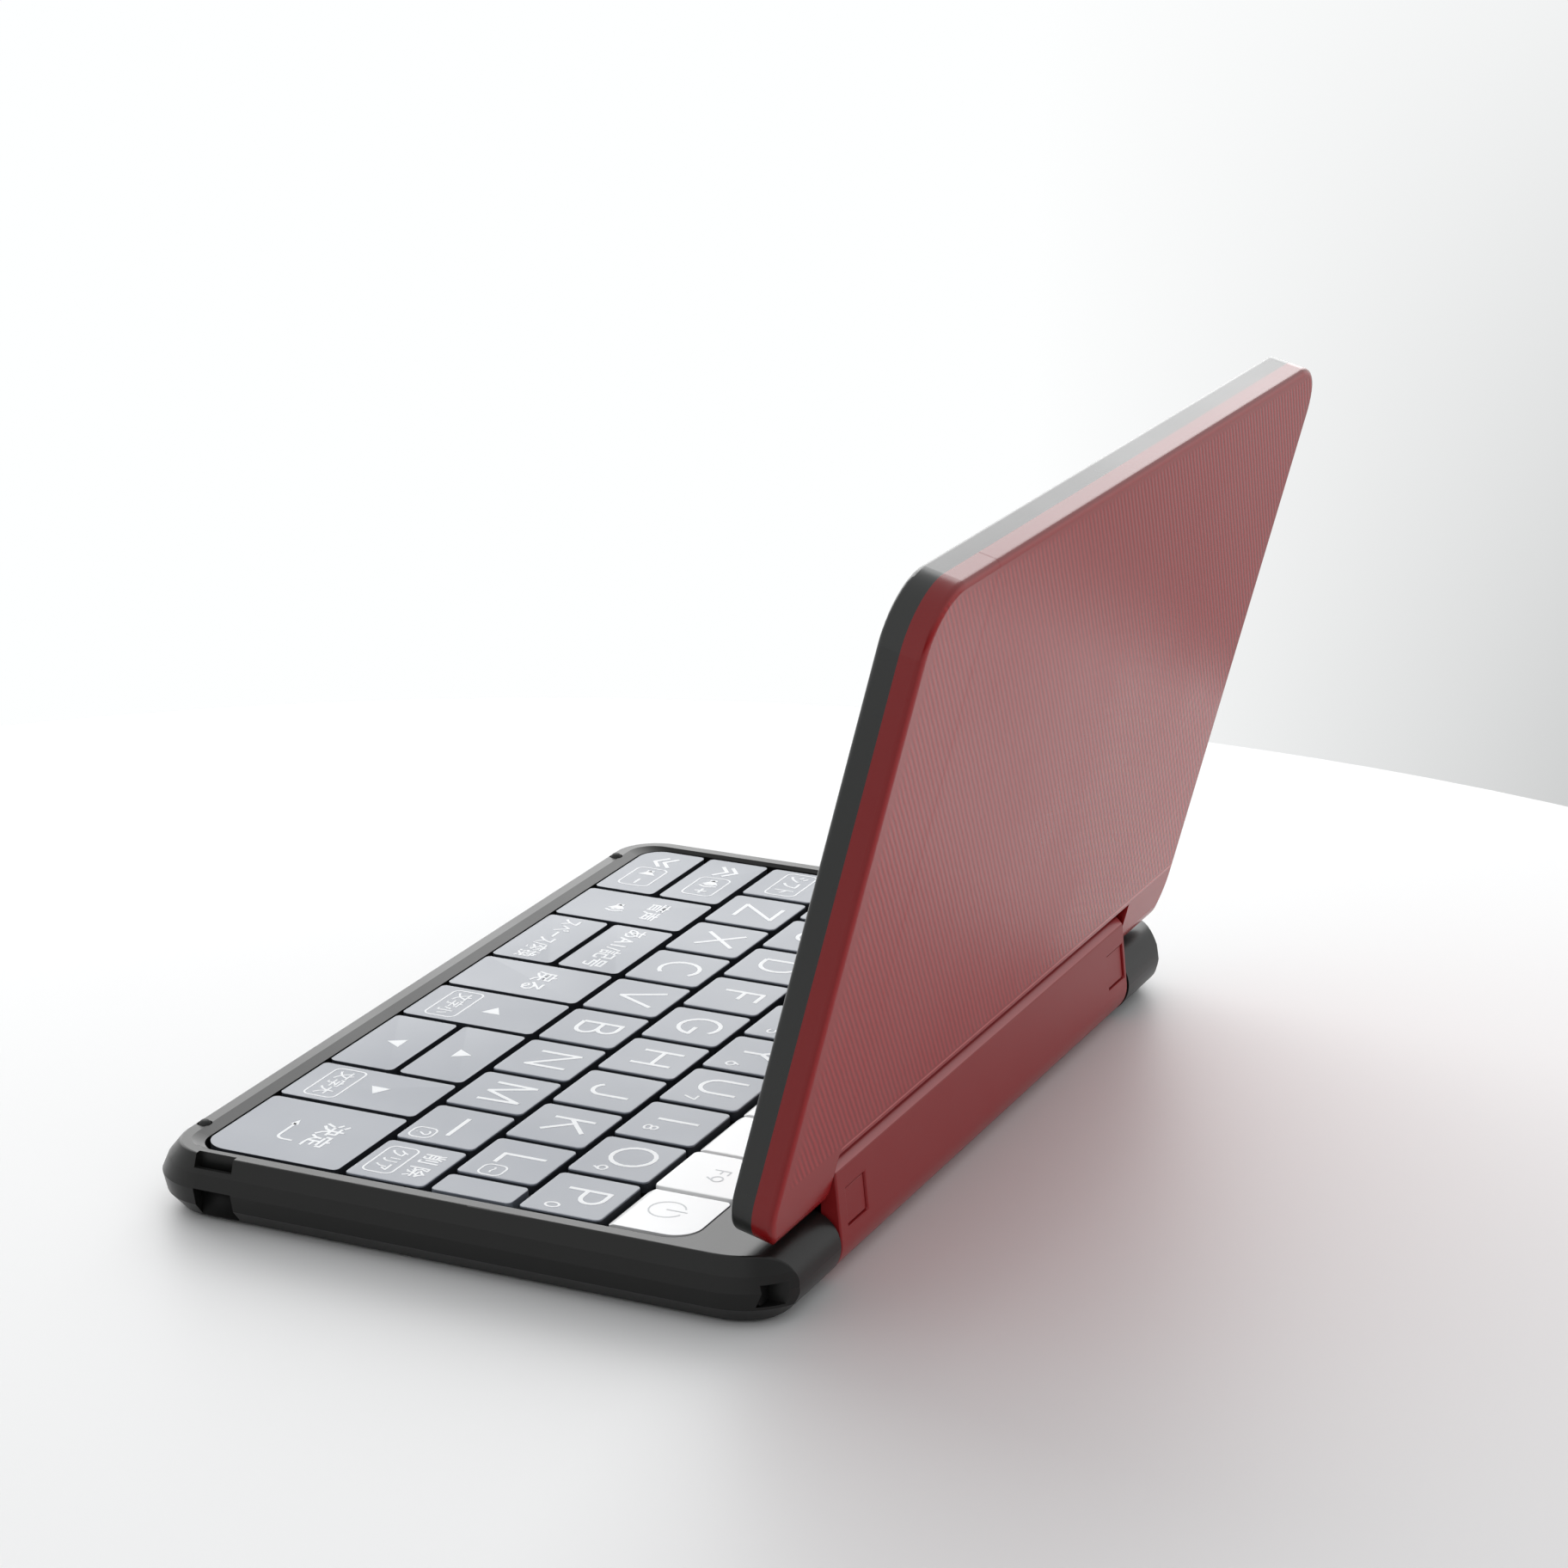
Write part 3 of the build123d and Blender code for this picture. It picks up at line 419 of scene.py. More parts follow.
def hand(builder, name, finishes, body, replaced=(), matrix=None):
    # turns a finished bmesh into a piece that moves with a body
    if matrix is not None:
        bmesh.ops.transform(builder, matrix=matrix, verts=builder.verts)
    data = bpy.data.meshes.new(name)
    builder.to_mesh(data)
    builder.free()
    for finish in finishes:
        data.materials.append(materials[finish])
    data.shade_smooth()
    piece = bpy.data.objects.new(name, data)
    bpy.context.scene.collection.objects.link(piece)
    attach(piece, body)
    if replaced:
        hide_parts(*replaced)
    return piece


# lengths in millimetres, angles in degrees
shapingValues = {
    "softenAngle": 32,
    "softenSegments": 2,
    "sharpAngle": 40,
    "flatWeight": 100,
    "mergeWithin": 0.004,
    "flatWithin": 0.6,
    "cutWithin": 0.0001,
    "upright": 0.9,
}
roundEdges = dict(affect="EDGES", profile=0.5, material=-1, clamp_overlap=True)


def keepFlat(piece):
    # the flat faces decide the shading beside a round
    weigh = piece.modifiers.new("flat faces", "WEIGHTED_NORMAL")
    weigh.keep_sharp = True
    weigh.weight = shapingValues["flatWeight"]


def soften(piece, width):
    # small rounds along the sharp edges
    bevel = piece.modifiers.new("edge rounds", "BEVEL")
    bevel.width = width * mm
    bevel.segments = shapingValues["softenSegments"]
    bevel.limit_method = "ANGLE"
    bevel.angle_limit = math.radians(shapingValues["softenAngle"])
    bevel.use_clamp_overlap = False
    bevel.harden_normals = False
    keepFlat(piece)


def sharpen(piece):
    # smooth rounds beside flat faces, with the real corners left sharp
    piece.data.set_sharp_from_angle(angle=math.radians(shapingValues["sharpAngle"]))
    keepFlat(piece)


def copyOfNode(name):
    # the CAD node's shape with its loose triangles joined into whole faces
    builder = bmesh.new()
    builder.from_mesh(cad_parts[name].data)
    for layer in list(builder.loops.layers.uv):
        builder.loops.layers.uv.remove(layer)
    within = shapingValues["mergeWithin"] * mm
    bmesh.ops.remove_doubles(builder, verts=builder.verts, dist=within)
    bmesh.ops.dissolve_degenerate(builder, edges=builder.edges, dist=within)
    flat = math.radians(shapingValues["flatWithin"])
    bmesh.ops.dissolve_limit(builder, angle_limit=flat, verts=builder.verts, edges=builder.edges)
    for face in builder.faces:
        face.material_index = 0
    return builder


def boxBetween(builder, low, high):
    # a box between two corners, in metres
    made = bmesh.ops.create_cube(builder, size=1)["verts"]
    size = [b - a for a, b in zip(low, high)]
    middle = [(a + b) / 2 for a, b in zip(low, high)]
    bmesh.ops.scale(builder, verts=made, vec=size)
    bmesh.ops.translate(builder, verts=made, vec=middle)
    return made


def uprightEdges(verts):
    edges = {edge for v in verts for edge in v.link_edges}
    upright = shapingValues["upright"]
    return [e for e in edges if abs(e.verts[0].co.z - e.verts[1].co.z) > upright * e.calc_length()]


def sliceOff(builder, geom, place, facing):
    # cuts away what lies in front of a plane and closes the cut; returns the new faces
    within = shapingValues["cutWithin"] * mm
    cut = bmesh.ops.bisect_plane(
        builder, geom=geom, plane_co=place, plane_no=facing, clear_outer=True, dist=within
    )
    rim = [g for g in cut["geom_cut"] if isinstance(g, bmesh.types.BMEdge)]
    return bmesh.ops.contextual_create(builder, geom=rim)["faces"]


# lengths in millimetres, the sharp turn in degrees
legendValues = {
    "letterHeight": 6.35,
    "letterStroke": 0.66,
    "letterRise": 0.55,
    "letterShift": -0.8,
    "digitHeight": 2.0,
    "digitStroke": 0.34,
    "digitSpot": (4.1, -2.1),
    "narrowDigitX": 2.6,
    "functionHeight": 2.4,
    "functionSpots": ((-1.1, 0.4), (1.1, 0.4)),
    "markHeight": 2.1,
    "iconStroke": 0.42,
    "boldStroke": 0.63,
    "magnetStroke": 1.3,
    "boxStroke": 0.3,
    "boxCorner": 1.1,
    "fineStroke": 0.24,
    "wordOffset": 0.014,
    "wordCurve": 2,
    "proud": 0.02,
    "deep": 0.06,
    "mergeWithin": 0.002,
    "sharpTurn": 40,
    "cornerReach": 0.3,
    "arcStep": 18,
    "fewestSteps": 4,
    "middleSlack": 0.01,
    "upward": 0.5,
    "apart": 10.0,
    "layer": 0.0025,
}


def arc(middleX, middleY, radiusX, radiusY, start, end):
    # points along part of an ellipse, angles in degrees
    steps = max(legendValues["fewestSteps"], round(abs(end - start) / legendValues["arcStep"]))
    angles = [math.radians(start + (end - start) * i / steps) for i in range(steps + 1)]
    return [(middleX + radiusX * math.cos(a), middleY + radiusY * math.sin(a)) for a in angles]


# centre lines of thin letters, one unit high
bowl = arc(0.32, 0.73, 0.3, 0.27, 90, -90)
glyphs = {
    "A": [[(0, 0), (0.43, 1), (0.86, 0)], [(0.15, 0.33), (0.71, 0.33)]],
    "B": [
        [(0, 0), (0, 1), (0.3, 1)] + arc(0.3, 0.76, 0.26, 0.24, 90, -90) + [(0, 0.52)],
        arc(0.36, 0.26, 0.3, 0.26, 90, -90) + [(0, 0)],
    ],
    "C": [arc(0.47, 0.5, 0.47, 0.5, 48, 312)],
    "D": [[(0, 0), (0, 1), (0.3, 1)] + arc(0.3, 0.5, 0.44, 0.5, 90, -90) + [(0, 0)]],
    "E": [[(0.56, 1), (0, 1), (0, 0), (0.56, 0)], [(0, 0.53), (0.5, 0.53)]],
    "F": [[(0.54, 1), (0, 1), (0, 0)], [(0, 0.52), (0.48, 0.52)]],
    "G": [arc(0.48, 0.5, 0.48, 0.5, 48, 352) + [(0.54, 0.44)]],
    "H": [[(0, 0), (0, 1)], [(0.78, 0), (0.78, 1)], [(0, 0.52), (0.78, 0.52)]],
    "I": [[(0, 0), (0, 1)]],
    "J": [[(0.6, 1), (0.6, 0.28)] + arc(0.3, 0.28, 0.3, 0.28, 0, -150)],
    "K": [[(0, 0), (0, 1)], [(0.68, 1), (0.04, 0.46)], [(0.2, 0.6), (0.74, 0)]],
    "L": [[(0, 1), (0, 0), (0.5, 0)]],
    "M": [[(0, 0), (0.04, 1), (0.5, 0.04), (0.96, 1), (1, 0)]],
    "N": [[(0, 0), (0, 1), (0.82, 0), (0.82, 1)]],
    "O": [arc(0.5, 0.5, 0.5, 0.5, 0, 360)],
    "P": [[(0, 0), (0, 1)] + bowl + [(0, 0.46)]],
    "Q": [arc(0.5, 0.5, 0.5, 0.5, 0, 360), [(0.62, 0.24), (0.98, -0.04)]],
    "R": [[(0, 0), (0, 1)] + bowl + [(0, 0.46)], [(0.34, 0.46), (0.68, 0)]],
    "S": [arc(0.32, 0.75, 0.28, 0.25, 40, 270) + arc(0.32, 0.25, 0.31, 0.25, 90, -140)],
    "T": [[(0, 1), (0.74, 1)], [(0.37, 1), (0.37, 0)]],
    "U": [[(0, 1), (0, 0.36)] + arc(0.38, 0.36, 0.38, 0.36, 180, 360) + [(0.76, 1)]],
    "V": [[(0, 1), (0.48, 0), (0.96, 1)]],
    "W": [[(0, 1), (0.29, 0), (0.58, 0.96), (0.87, 0), (1.16, 1)]],
    "X": [[(0, 0), (0.9, 1)], [(0, 1), (0.9, 0)]],
    "Y": [[(0, 1), (0.42, 0.46), (0.84, 1)], [(0.42, 0.46), (0.42, 0)]],
    "Z": [[(0.02, 1), (0.84, 1), (0, 0), (0.86, 0)]],
    "0": [arc(0.38, 0.5, 0.38, 0.5, 0, 360)],
    "1": [[(0.1, 0.8), (0.42, 1), (0.42, 0)]],
    "2": [arc(0.36, 0.7, 0.34, 0.3, 170, -40) + [(0, 0), (0.74, 0)]],
    "3": [arc(0.34, 0.74, 0.32, 0.26, 150, -90) + arc(0.34, 0.26, 0.36, 0.26, 90, -150)],
    "4": [[(0.56, 0), (0.56, 1), (0, 0.3), (0.78, 0.3)]],
    "5": [[(0.68, 1), (0.12, 1), (0.06, 0.54)] + arc(0.34, 0.32, 0.36, 0.32, 120, -150)],
    "6": [arc(0.38, 0.33, 0.36, 0.33, 0, 360), [(0.05, 0.45), (0.45, 1)]],
    "7": [[(0, 1), (0.74, 1), (0.26, 0)]],
    "8": [arc(0.38, 0.75, 0.3, 0.25, 0, 360), arc(0.38, 0.26, 0.36, 0.26, 0, 360)],
    "9": [arc(0.38, 0.67, 0.36, 0.33, 0, 360), [(0.71, 0.55), (0.32, 0)]],
    "?": [arc(0.32, 0.74, 0.3, 0.26, 165, -60) + [(0.34, 0.34), (0.34, 0.26)], [(0.34, 0.05), (0.34, 0)]],
    "~": [arc(0.2, 0.45, 0.2, 0.12, 170, 20) + arc(0.62, 0.55, 0.2, 0.12, 200, 350)],
}


def placedGlyph(letter, spot, height):
    # the letter's lines at their size, centred on a spot
    lines = glyphs[letter]
    across = [x for line in lines for x, y in line]
    centre = (min(across) + max(across)) / 2
    return [
        [(spot[0] + (x - centre) * height, spot[1] + (y - 0.5) * height) for x, y in line]
        for line in lines
    ]


def roundedBox(low, high):
    # a closed outline with round corners
    corner = legendValues["boxCorner"]
    points = []
    for x, y, start in (
        (high[0], high[1], 0),
        (low[0], high[1], 90),
        (low[0], low[1], 180),
        (high[0], low[1], 270),
    ):
        inX = corner if x == low[0] else -corner
        inY = corner if y == low[1] else -corner
        points += arc(x + inX, y + inY, corner, corner, start, start + 90)
    return points + points[:1]


def smoothRuns(line, width):
    # a line parted at its sharp corners, with the parts crossing a little there
    points = [Vector(point) for point in line]
    runs, run = [], points[:1]
    for i in range(1, len(points)):
        run.append(points[i])
        if i + 1 < len(points):
            turn = (points[i] - points[i - 1]).angle(points[i + 1] - points[i], 0)
            if turn > math.radians(legendValues["sharpTurn"]):
                runs.append(run)
                run = [points[i].copy()]
    runs.append(run)
    reach = legendValues["cornerReach"] * width
    for i, run in enumerate(runs):
        start, end = run[0] - run[1], run[-1] - run[-2]
        if i > 0:
            run[0] = run[0] + start.normalized() * reach
        if i + 1 < len(runs):
            run[-1] = run[-1] + end.normalized() * reach
    return runs


def addStrokes(builder, lines, width, middle):
    # thin flat lines of print: round cords along the lines, pressed flat
    data = bpy.data.curves.new("print", "CURVE")
    data.dimensions = "3D"
    data.bevel_depth = width / 2
    data.bevel_resolution = 1
    data.use_fill_caps = True
    # each run lies a hair above the one before, so that crossing strokes share no plane
    apart = legendValues["apart"]
    runs = [run for line in lines for run in smoothRuns(line, width)]
    for layer, run in enumerate(runs):
        spline = data.splines.new("POLY")
        spline.points.add(len(run) - 1)
        for point, spot in zip(spline.points, run):
            point.co = (spot.x, spot.y, layer * apart, 1)
    cord = bpy.data.objects.new("print", data)
    mesh = bpy.data.meshes.new_from_object(cord)
    for v in mesh.vertices:
        layer = round(v.co.z / apart)
        upper = v.co.z - layer * apart > -legendValues["middleSlack"] * width
        v.co.z = layer * legendValues["layer"] - (0 if upper else 1)
    mesh.update()
    joinPrint(builder, mesh, middle)
    bpy.data.objects.remove(cord)
    bpy.data.curves.remove(data)


def joinPrint(builder, mesh, middle):
    # adds flat print to a key, in the key's second finish
    sheet = bmesh.new()
    sheet.from_mesh(mesh)
    under = [face for face in sheet.faces if face.normal.z < legendValues["upward"]]
    bmesh.ops.delete(sheet, geom=under, context="FACES")
    bmesh.ops.remove_doubles(sheet, verts=sheet.verts, dist=legendValues["mergeWithin"])
    bmesh.ops.translate(sheet, vec=(0, 0, legendValues["proud"]), verts=sheet.verts)
    made = bmesh.ops.extrude_face_region(sheet, geom=sheet.faces[:], use_keep_orig=True)["geom"]
    below = [g for g in made if isinstance(g, bmesh.types.BMVert)]
    bmesh.ops.translate(sheet, vec=(0, 0, -legendValues["deep"]), verts=below)
    bmesh.ops.scale(sheet, vec=(mm, mm, mm), verts=sheet.verts)
    bmesh.ops.translate(sheet, vec=middle, verts=sheet.verts)
    bmesh.ops.recalc_face_normals(sheet, faces=sheet.faces)
    for face in sheet.faces:
        face.material_index = 1
    sheet.to_mesh(mesh)
    sheet.free()
    builder.from_mesh(mesh)
    bpy.data.meshes.remove(mesh)


def reaches(verts):
    # lowest and highest x, then lowest and highest y
    across = [v.co.x for v in verts]
    upward = [v.co.y for v in verts]
    return min(across), max(across), min(upward), max(upward)


def addWord(builder, words, low, high, middle):
    # a word, fitted between two corners
    data = bpy.data.curves.new("print", "FONT")
    data.body = words
    data.resolution_u = legendValues["wordCurve"]
    data.offset = legendValues["wordOffset"]
    word = bpy.data.objects.new("print", data)
    mesh = bpy.data.meshes.new_from_object(word)
    bpy.data.objects.remove(word)
    left, right, bottom, top = reaches(mesh.vertices)
    sizeX = (high[0] - low[0]) / (right - left)
    sizeY = (high[1] - low[1]) / (top - bottom)
    shift = Matrix.Translation((low[0] - left * sizeX, low[1] - bottom * sizeY, 0))
    mesh.transform(shift @ Matrix.Diagonal((sizeX, sizeY, 1, 1)))
    joinPrint(builder, mesh, middle)


def addTriangle(builder, spot, size, turn, middle):
    # a filled arrow head; turn is where it points, in degrees
    head = bmesh.new()
    bmesh.ops.create_circle(head, cap_ends=True, segments=3, radius=1)
    # the circle's first corner is at +Y
    spin = Matrix.Rotation(math.radians(turn - 90), 3, "Z")
    bmesh.ops.rotate(head, verts=head.verts, cent=(0, 0, 0), matrix=spin)
    left, right, bottom, top = reaches(head.verts)
    bmesh.ops.translate(head, vec=(-(right + left) / 2, -(top + bottom) / 2, 0), verts=head.verts)
    bmesh.ops.scale(head, vec=(size[0] / (right - left), size[1] / (top - bottom), 1), verts=head.verts)
    bmesh.ops.translate(head, vec=(*spot, 0), verts=head.verts)
    for face in head.faces:
        face.normal_update()
        if face.normal.z < 0:
            face.normal_flip()
    mesh = bpy.data.meshes.new("print")
    head.to_mesh(mesh)
    head.free()
    joinPrint(builder, mesh, middle)


# lengths in millimetres from the mark's middle, the wave angle in degrees
iconValues = {
    "coneX": -0.5,
    "coneSize": (2.0, 3.0),
    "magnetFrom": -1.6,
    "magnetTo": -0.9,
    "waveRadii": (0.9, 1.7),
    "waveStretch": 1.15,
    "waveAngle": 50,
    "chevronHalfWidth": 2.2,
    "chevronRise": 1.7,
    "chevronOffsets": (-0.85, 0.85),
}


def addSpeaker(builder, spot, waves, middle):
    # a loudspeaker mark: a magnet, a cone and two sound waves
    x, y = spot
    addTriangle(builder, (x + iconValues["coneX"], y), iconValues["coneSize"], 180, middle)
    magnet = [(x + iconValues["magnetFrom"], y), (x + iconValues["magnetTo"], y)]
    addStrokes(builder, [magnet], legendValues["magnetStroke"], middle)
    if waves:
        turn, stretch = iconValues["waveAngle"], iconValues["waveStretch"]
        rings = [arc(x, y, r, r * stretch, turn, -turn) for r in iconValues["waveRadii"]]
        addStrokes(builder, rings, legendValues["iconStroke"], middle)


def chevrons(x, y, towards):
    # two open arrow heads, one over the other; towards is 1 for up, -1 for down
    half = iconValues["chevronHalfWidth"]
    rise = towards * iconValues["chevronRise"]
    low, high = y - rise / 2, y + rise / 2
    return [
        [(x - half, low + off), (x, high + off), (x + half, low + off)]
        for off in iconValues["chevronOffsets"]
    ]


# what stands on the keys, in millimetres from each key's middle
digits = dict(zip("qwertyuiop", "1234567890"))
wordPlaces = {
    "shift": [("シフト", (-4.1, -1.9), (4.1, 1.4))],
    "delete": [("削 除", (-4, 1.1), (4, 4.5)), ("クリア", (-3.5, -3.8), (3.5, -1.0))],
    "sound": [("音声", (-3.9, 1.8), (3.8, 5.3))],
    "mode": [("あA1/記号", (-8.8, -2.0), (8.7, 1.7))],
    "space": [("スペース/変換", (-8.8, -2.0), (9, 1.7))],
    "back": [("戻る", (-3.8, -0.3), (3.9, 3.7))],
    "left": [("文字小", (-4.3, -6.9), (4.3, -4.1))],
    "right": [("文字大", (-4.3, -6.9), (4.3, -4.1))],
    "enter": [("決定", (-4.3, 1.3), (4.3, 5.3))],
}
boxPlaces = {
    "shift": ((-5.2, -2.9), (5.1, 2.4)),
    "delete": ((-4.5, -4.7), (4.5, -0.1)),
    "l": ((2.45, -3.25), (5.95, 0.25)),
    "dash": ((1.9, -4.95), (5.4, -1.45)),
    "page_up": ((-1.5, -2.7), (7.1, 2.6)),
    "page_down": ((-1.5, -2.7), (7.1, 2.6)),
    "left": ((-5.2, -8.0), (5.2, -2.9)),
    "right": ((-5.2, -8.0), (5.2, -2.9)),
}
# glyph and its middle
markPlaces = {"l": ("~", (4.2, -1.5)), "dash": ("?", (3.65, -3.2))}
# middle, size and where it points
arrowPlaces = {
    "left": ((0, 1.4), (2.6, 3.1), 180),
    "right": ((0, 1.4), (2.6, 3.1), 0),
    "up": ((0, 0.1), (3.1, 2.6), 90),
    "down": ((0, 0.1), (3.1, 2.6), -90),
    "enter": ((-2.6, -2.8), (1.8, 1.3), 180),
}
# middle, and whether it has sound waves
speakerPlaces = {
    "page_up": ((1.2, 0), True),
    "page_down": ((1.2, 0), False),
    "sound": ((0.3, -2.8), True),
}
# lines and the name of their stroke
minusLine = [(3.9, 0), (6.1, 0)]
linePlaces = {
    "dash": [([[(-3.3, 0.4), (3.3, 0.4)]], "letterStroke")],
    "page_up": [
        (chevrons(-4.9, 0.05, 1), "boldStroke"),
        ([minusLine, [(5, -1.1), (5, 1.1)]], "iconStroke"),
    ],
    "page_down": [(chevrons(-4.9, 0.05, -1), "boldStroke"), ([minusLine], "iconStroke")],
    "enter": [
        ([[(3.4, -0.1), (3.4, -1.6)] + arc(2.2, -1.6, 1.2, 1.2, 0, -90) + [(-2.2, -2.8)]], "iconStroke"),
    ],
    "power": [([arc(-0.9, -0.8, 2.55, 2.55, 112, 428), [(-0.9, -0.9), (-0.9, 2.2)]], "fineStroke")],
}


def addLetter(builder, name, middle):
    shift = legendValues["letterShift"] if name in digits and name != "p" else 0
    lines = placedGlyph(name.upper(), (shift, legendValues["letterRise"]), legendValues["letterHeight"])
    addStrokes(builder, lines, legendValues["letterStroke"], middle)
    if name in digits:
        x, y = legendValues["digitSpot"]
        x = legendValues["narrowDigitX"] if name == "i" else x
        lines = placedGlyph(digits[name], (x, y), legendValues["digitHeight"])
        addStrokes(builder, lines, legendValues["digitStroke"], middle)


def addLegend(builder, name, low, high):
    middle = Vector(((low.x + high.x) / 2, (low.y + high.y) / 2, high.z))
    if len(name) == 1:
        addLetter(builder, name, middle)
    if name in boxPlaces:
        addStrokes(builder, [roundedBox(*boxPlaces[name])], legendValues["boxStroke"], middle)
    if name in markPlaces:
        lines = placedGlyph(*markPlaces[name], legendValues["markHeight"])
        addStrokes(builder, lines, legendValues["boxStroke"], middle)
    for words, wordLow, wordHigh in wordPlaces.get(name, ()):
        addWord(builder, words, wordLow, wordHigh, middle)
    for lines, stroke in linePlaces.get(name, ()):
        addStrokes(builder, lines, legendValues[stroke], middle)
    if name in speakerPlaces:
        addSpeaker(builder, *speakerPlaces[name], middle)
    if name in arrowPlaces:
        addTriangle(builder, *arrowPlaces[name], middle)


# lengths in millimetres
keyValues = {
    "pitch": 14.0,
    "gap": 1.1,
    "whiteCount": 9,
    "whiteWider": 0.22,
    "capHeight": 1.6,
    "corner": 0.9,
    "cornerSegments": 4,
    "bigCorner": 3.9,
    "bigCornerSegments": 10,
    "edge": 0.24,
    "edgeSegments": 2,
    "slopeDepth": 1.0,
    "slopeDrop": 0.5,
    "stem": (4.0, 3.0),
    "flangeLip": 0.6,
    "flangeHeight": 0.45,
    "topTilt": 0.8,
    "sideTilt": 0.3,
    "wallTilt": 0.2,
    "fillerFrom": 0.72,
    "frameRound": 0.14,
}
letterNames = ["shift", *"zxcvbnm", "dash", "delete", *"asdfghjkl", *"qwertyuiop"]
plainNames = ["page_down", "page_up", "sound", "space", "mode", "back", "left", "down", "up", "right", "enter"]


def addCap(builder, low, high, sloped, bigCorner=None):
    # one key: a cap with rounded corners, and the stem and stop flange below it
    capLow = Vector((low.x, low.y, high.z - keyValues["capHeight"] * mm))
    upright = uprightEdges(boxBetween(builder, capLow, high))
    large = []
    if bigCorner:
        large = [e for e in upright if (e.verts[0].co.xy - Vector(bigCorner)).length < mm]
    small = [e for e in upright if e not in large]
    for edges, size in ((small, "corner"), (large, "bigCorner")):
        if edges:
            segments = keyValues[size + "Segments"]
            bmesh.ops.bevel(builder, geom=edges, offset=keyValues[size] * mm, segments=segments, **roundEdges)
    if sloped:
        cap = [g for kind in (builder.verts, builder.edges, builder.faces) for g in kind if not g.tag]
        start = Vector((low.x, low.y, high.z - keyValues["slopeDrop"] * mm))
        facing = Vector((0, -keyValues["slopeDrop"], keyValues["slopeDepth"])).normalized()
        sliceOff(builder, cap, start, facing)
    builder.normal_update()
    edges = []
    for edge in builder.edges:
        if edge.tag or len(edge.link_faces) != 2:
            continue
        lower, upper = sorted(face.normal.z for face in edge.link_faces)
        if upper > keyValues["topTilt"] and lower < keyValues["sideTilt"]:
            edges.append(edge)
    segments = keyValues["edgeSegments"]
    bmesh.ops.bevel(builder, geom=edges, offset=keyValues["edge"] * mm, segments=segments, **roundEdges)
    middle = (low + high) / 2
    lip = keyValues["flangeLip"] * mm
    for wider, top in ((0, capLow.z), (lip, low.z + keyValues["flangeHeight"] * mm)):
        halfX, halfY = (side * mm / 2 + wider for side in keyValues["stem"])
        corners = [(middle.x + s * halfX, middle.y + s * halfY, z) for s, z in ((-1, low.z), (1, top))]
        boxBetween(builder, *corners)
    for kind in (builder.verts, builder.edges, builder.faces):
        for g in kind:
            g.tag = True


def makeKeys():
    for name in letterNames + plainNames + ["power"]:
        nodeName = "key_" + name
        low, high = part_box(nodeName)
        corners = {"page_down": (low.x, low.y), "enter": (high.x, low.y), "power": (high.x, high.y)}
        builder = bmesh.new()
        addCap(builder, low, high, name in letterNames + ["power"], corners.get(name))
        addLegend(builder, name, low, high)
        finishes, slotName = ["keyGrey", "printWhite", "keyShade"], "keys_grey"
        if name == "power":
            finishes, slotName = ["keyWhite", "printGrey"], "keys_white"
        else:
            # the walls between the grey keys are in deep shade
            builder.normal_update()
            for face in builder.faces:
                if face.material_index == 0 and abs(face.normal.z) < keyValues["wallTilt"]:
                    face.material_index = 2
        sharpen(hand(builder, name.replace("_", "") + "Key", finishes, nodeName, [nodeName]))


def makeFunctionKeys():
    # the white keys of the rear row stand closer together than the grey ones
    low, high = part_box("function_keys")
    pitch, gap = keyValues["pitch"] * mm, keyValues["gap"] * mm
    wider = keyValues["whiteWider"] * mm
    count = keyValues["whiteCount"]
    builder = bmesh.new()
    for column in range(count):
        start = low.x + column * pitch
        left = Vector((start - (wider if column else 0), low.y, low.z))
        right = Vector((start + pitch - gap + (wider if column < count - 1 else 0), high.y, high.z))
        addCap(builder, left, right, True, (low.x, high.y) if column == 0 else None)
    for column in range(count):
        middle = Vector((low.x + (column + 0.5) * pitch - gap / 2, (low.y + high.y) / 2, high.z))
        lines = []
        for letter, spot in zip(("F", str(column + 1)), legendValues["functionSpots"]):
            lines += placedGlyph(letter, spot, legendValues["functionHeight"])
        addStrokes(builder, lines, legendValues["fineStroke"], middle)
    finishes = ["keyWhite", "printGrey"]
    sharpen(hand(builder, "functionKeys", finishes, "function_keys", ["function_keys"]))


def makeKeyFrame():
    # the blank fillers beside the middle row have the keys' finish
    builder = copyOfNode("key_frame")
    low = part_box("key_frame")[0]
    for face in builder.faces:
        if face.calc_center_median().z > low.z + keyValues["fillerFrom"] * mm:
            face.material_index = 1
    piece = hand(builder, "keyFrame", ["frameBlack", "keyGrey"], "base", ["key_frame"])
    soften(piece, keyValues["frameRound"])


# lengths in millimetres
smallValues = {
    "bumperFrom": 10.6,
    "bumperTaper": 0.55,
    "bumperRound": 0.28,
    "notchShadeLow": (71.96, -39.9, 0.9),
    "notchShadeHigh": (72.04, -34.05, 5.0),
}


def makeSmallParts():
    # the feet, and the two bumpers drawn in to low domes
    builder = copyOfNode("rubber_feet")
    taper = smallValues["bumperTaper"]
    for side in (-1, 1):
        top = [v for v in builder.verts if v.co.z > smallValues["bumperFrom"] * mm and v.co.x * side > 0]
        middle = sum((v.co for v in top), Vector()) / len(top)
        bmesh.ops.scale(builder, vec=(taper, taper, 1), verts=top, space=Matrix.Translation(-middle))
    piece = hand(builder, "feetAndBumpers", ["rubberBlack"], "base", ["rubber_feet"])
    soften(piece, smallValues["bumperRound"])
    # painted shade: a black plate over the shallow inner wall of the strap notch stands in for the deep shade
    # inside it
    builder = bmesh.new()
    low, high = ([value * mm for value in smallValues[name]] for name in ("notchShadeLow", "notchShadeHigh"))
    boxBetween(builder, low, high)
    hand(builder, "strapNotchShadePlate", ["frameBlack"], "base")


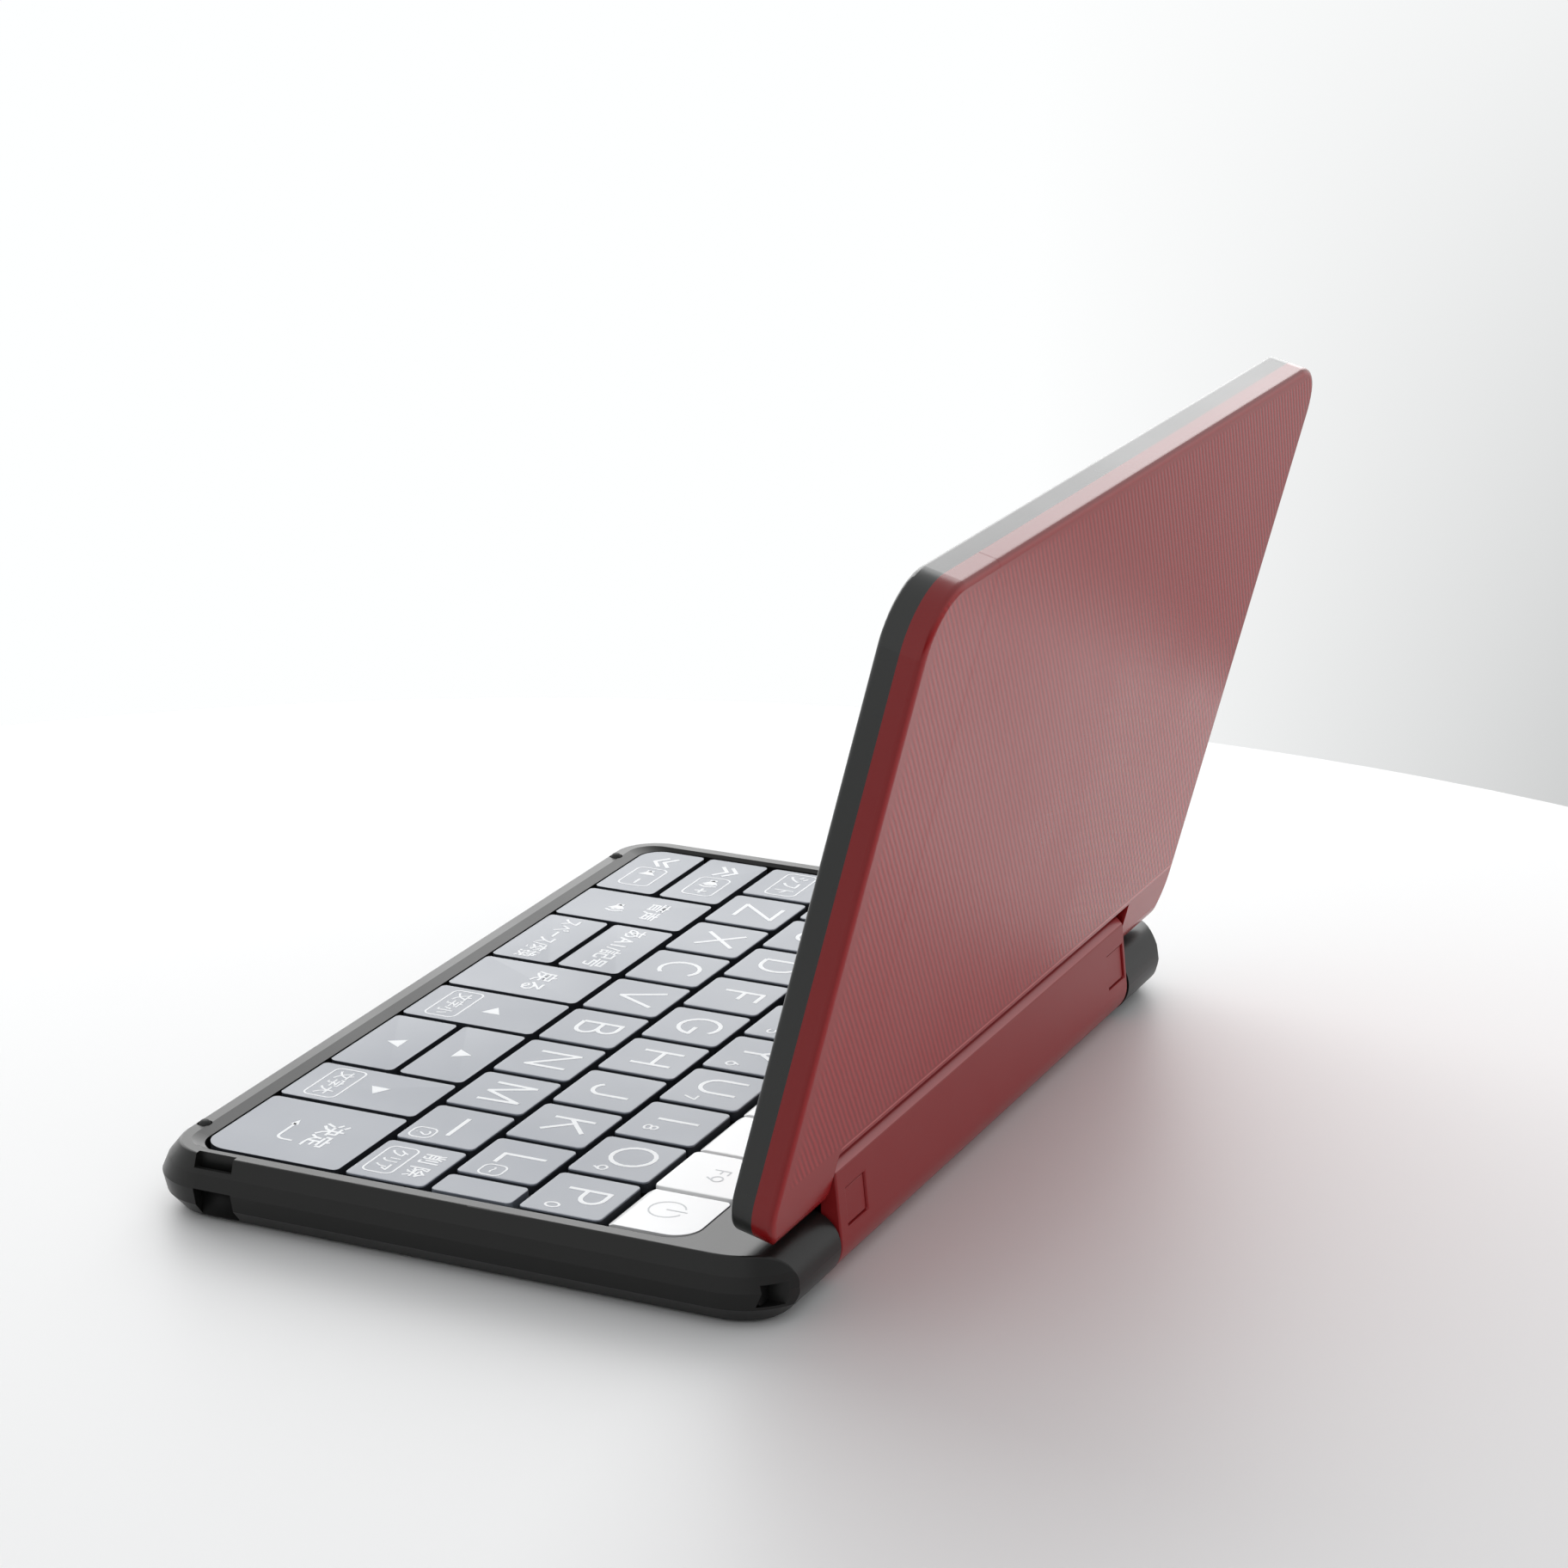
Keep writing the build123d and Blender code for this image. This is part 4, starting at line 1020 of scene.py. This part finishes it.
def cutWith(piece, cutters, matrix):
    # takes the cutters' space out of a piece
    bmesh.ops.transform(cutters, matrix=matrix, verts=cutters.verts)
    mesh = bpy.data.meshes.new("cutter")
    cutters.to_mesh(mesh)
    cutters.free()
    cutter = bpy.data.objects.new("cutter", mesh)
    bpy.context.scene.collection.objects.link(cutter)
    cut = piece.modifiers.new("cut", "BOOLEAN")
    cut.object = cutter
    cut.solver = "EXACT"
    bpy.context.view_layer.update()
    shown = piece.evaluated_get(bpy.context.evaluated_depsgraph_get())
    solid = bpy.data.meshes.new_from_object(shown)
    piece.modifiers.clear()
    piece.data = solid
    bpy.data.objects.remove(cutter)


# lengths in millimetres, angles in degrees; depths are measured from the spine's back
spineValues = {
    "backAt": (49.099, 5.894),
    "backTilt": 5.9,
    "capSpots": ((44.9, 51.2), (-53.1, -46.7)),
    "capLow": 7.3,
    "capHigh": 12.7,
    "capDepths": (1.1, 0.3),
    "capGap": 0.16,
    "capRound": 0.1,
    "holeDepths": (1.2, -0.5),
    "edgeRound": 0.3,
    "facetFrom": (48.07, 15.85),
    "facetSlope": 45,
}


def makeSpine():
    builder = copyOfNode("hinge_spine")
    slope = math.radians(spineValues["facetSlope"])
    whole = [*builder.verts, *builder.edges, *builder.faces]
    corner = Vector((0, *(value * mm for value in spineValues["facetFrom"])))
    # the facet's faces take the painted-highlight red
    for face in sliceOff(builder, whole, corner, (0, math.sin(slope), math.cos(slope))):
        face.material_index = 1
    spine = hand(builder, "spineBar", ["spineRed", "paintedFacetHighlight"], "spine", ["hinge_spine"])
    # two recesses near the ends hold the screw caps
    backY, backZ = spineValues["backAt"]
    tilt = Matrix.Rotation(math.radians(spineValues["backTilt"]), 4, "X")
    turn = Matrix.Translation((0, backY * mm, backZ * mm)) @ tilt
    low, high = spineValues["capLow"] - backZ, spineValues["capHigh"] - backZ
    caps, holes = bmesh.new(), bmesh.new()
    for left, right in spineValues["capSpots"]:
        for target, gap, (inner, outer) in (
            (holes, 0, spineValues["holeDepths"]),
            (caps, spineValues["capGap"], spineValues["capDepths"]),
        ):
            near = (left + gap, -inner, low + gap)
            far = (right - gap, -outer, high - gap)
            boxBetween(target, *([value * mm for value in end] for end in (near, far)))
    cutWith(spine, holes, turn)
    soften(spine, spineValues["edgeRound"])
    soften(hand(caps, "spineCaps", ["spineRed"], "spine", matrix=turn), spineValues["capRound"])


addCamera()
addWorld()
addWindow()
addTable()
dressNodes()
print("camera, light, table and finishes are in place")
makeKeyFrame()
makeKeys()
makeFunctionKeys()
makeSmallParts()
print("base and keys are in place")
makeSpine()
print("lid and hinge are in place")
bpy.context.scene.view_settings.view_transform = "Standard"
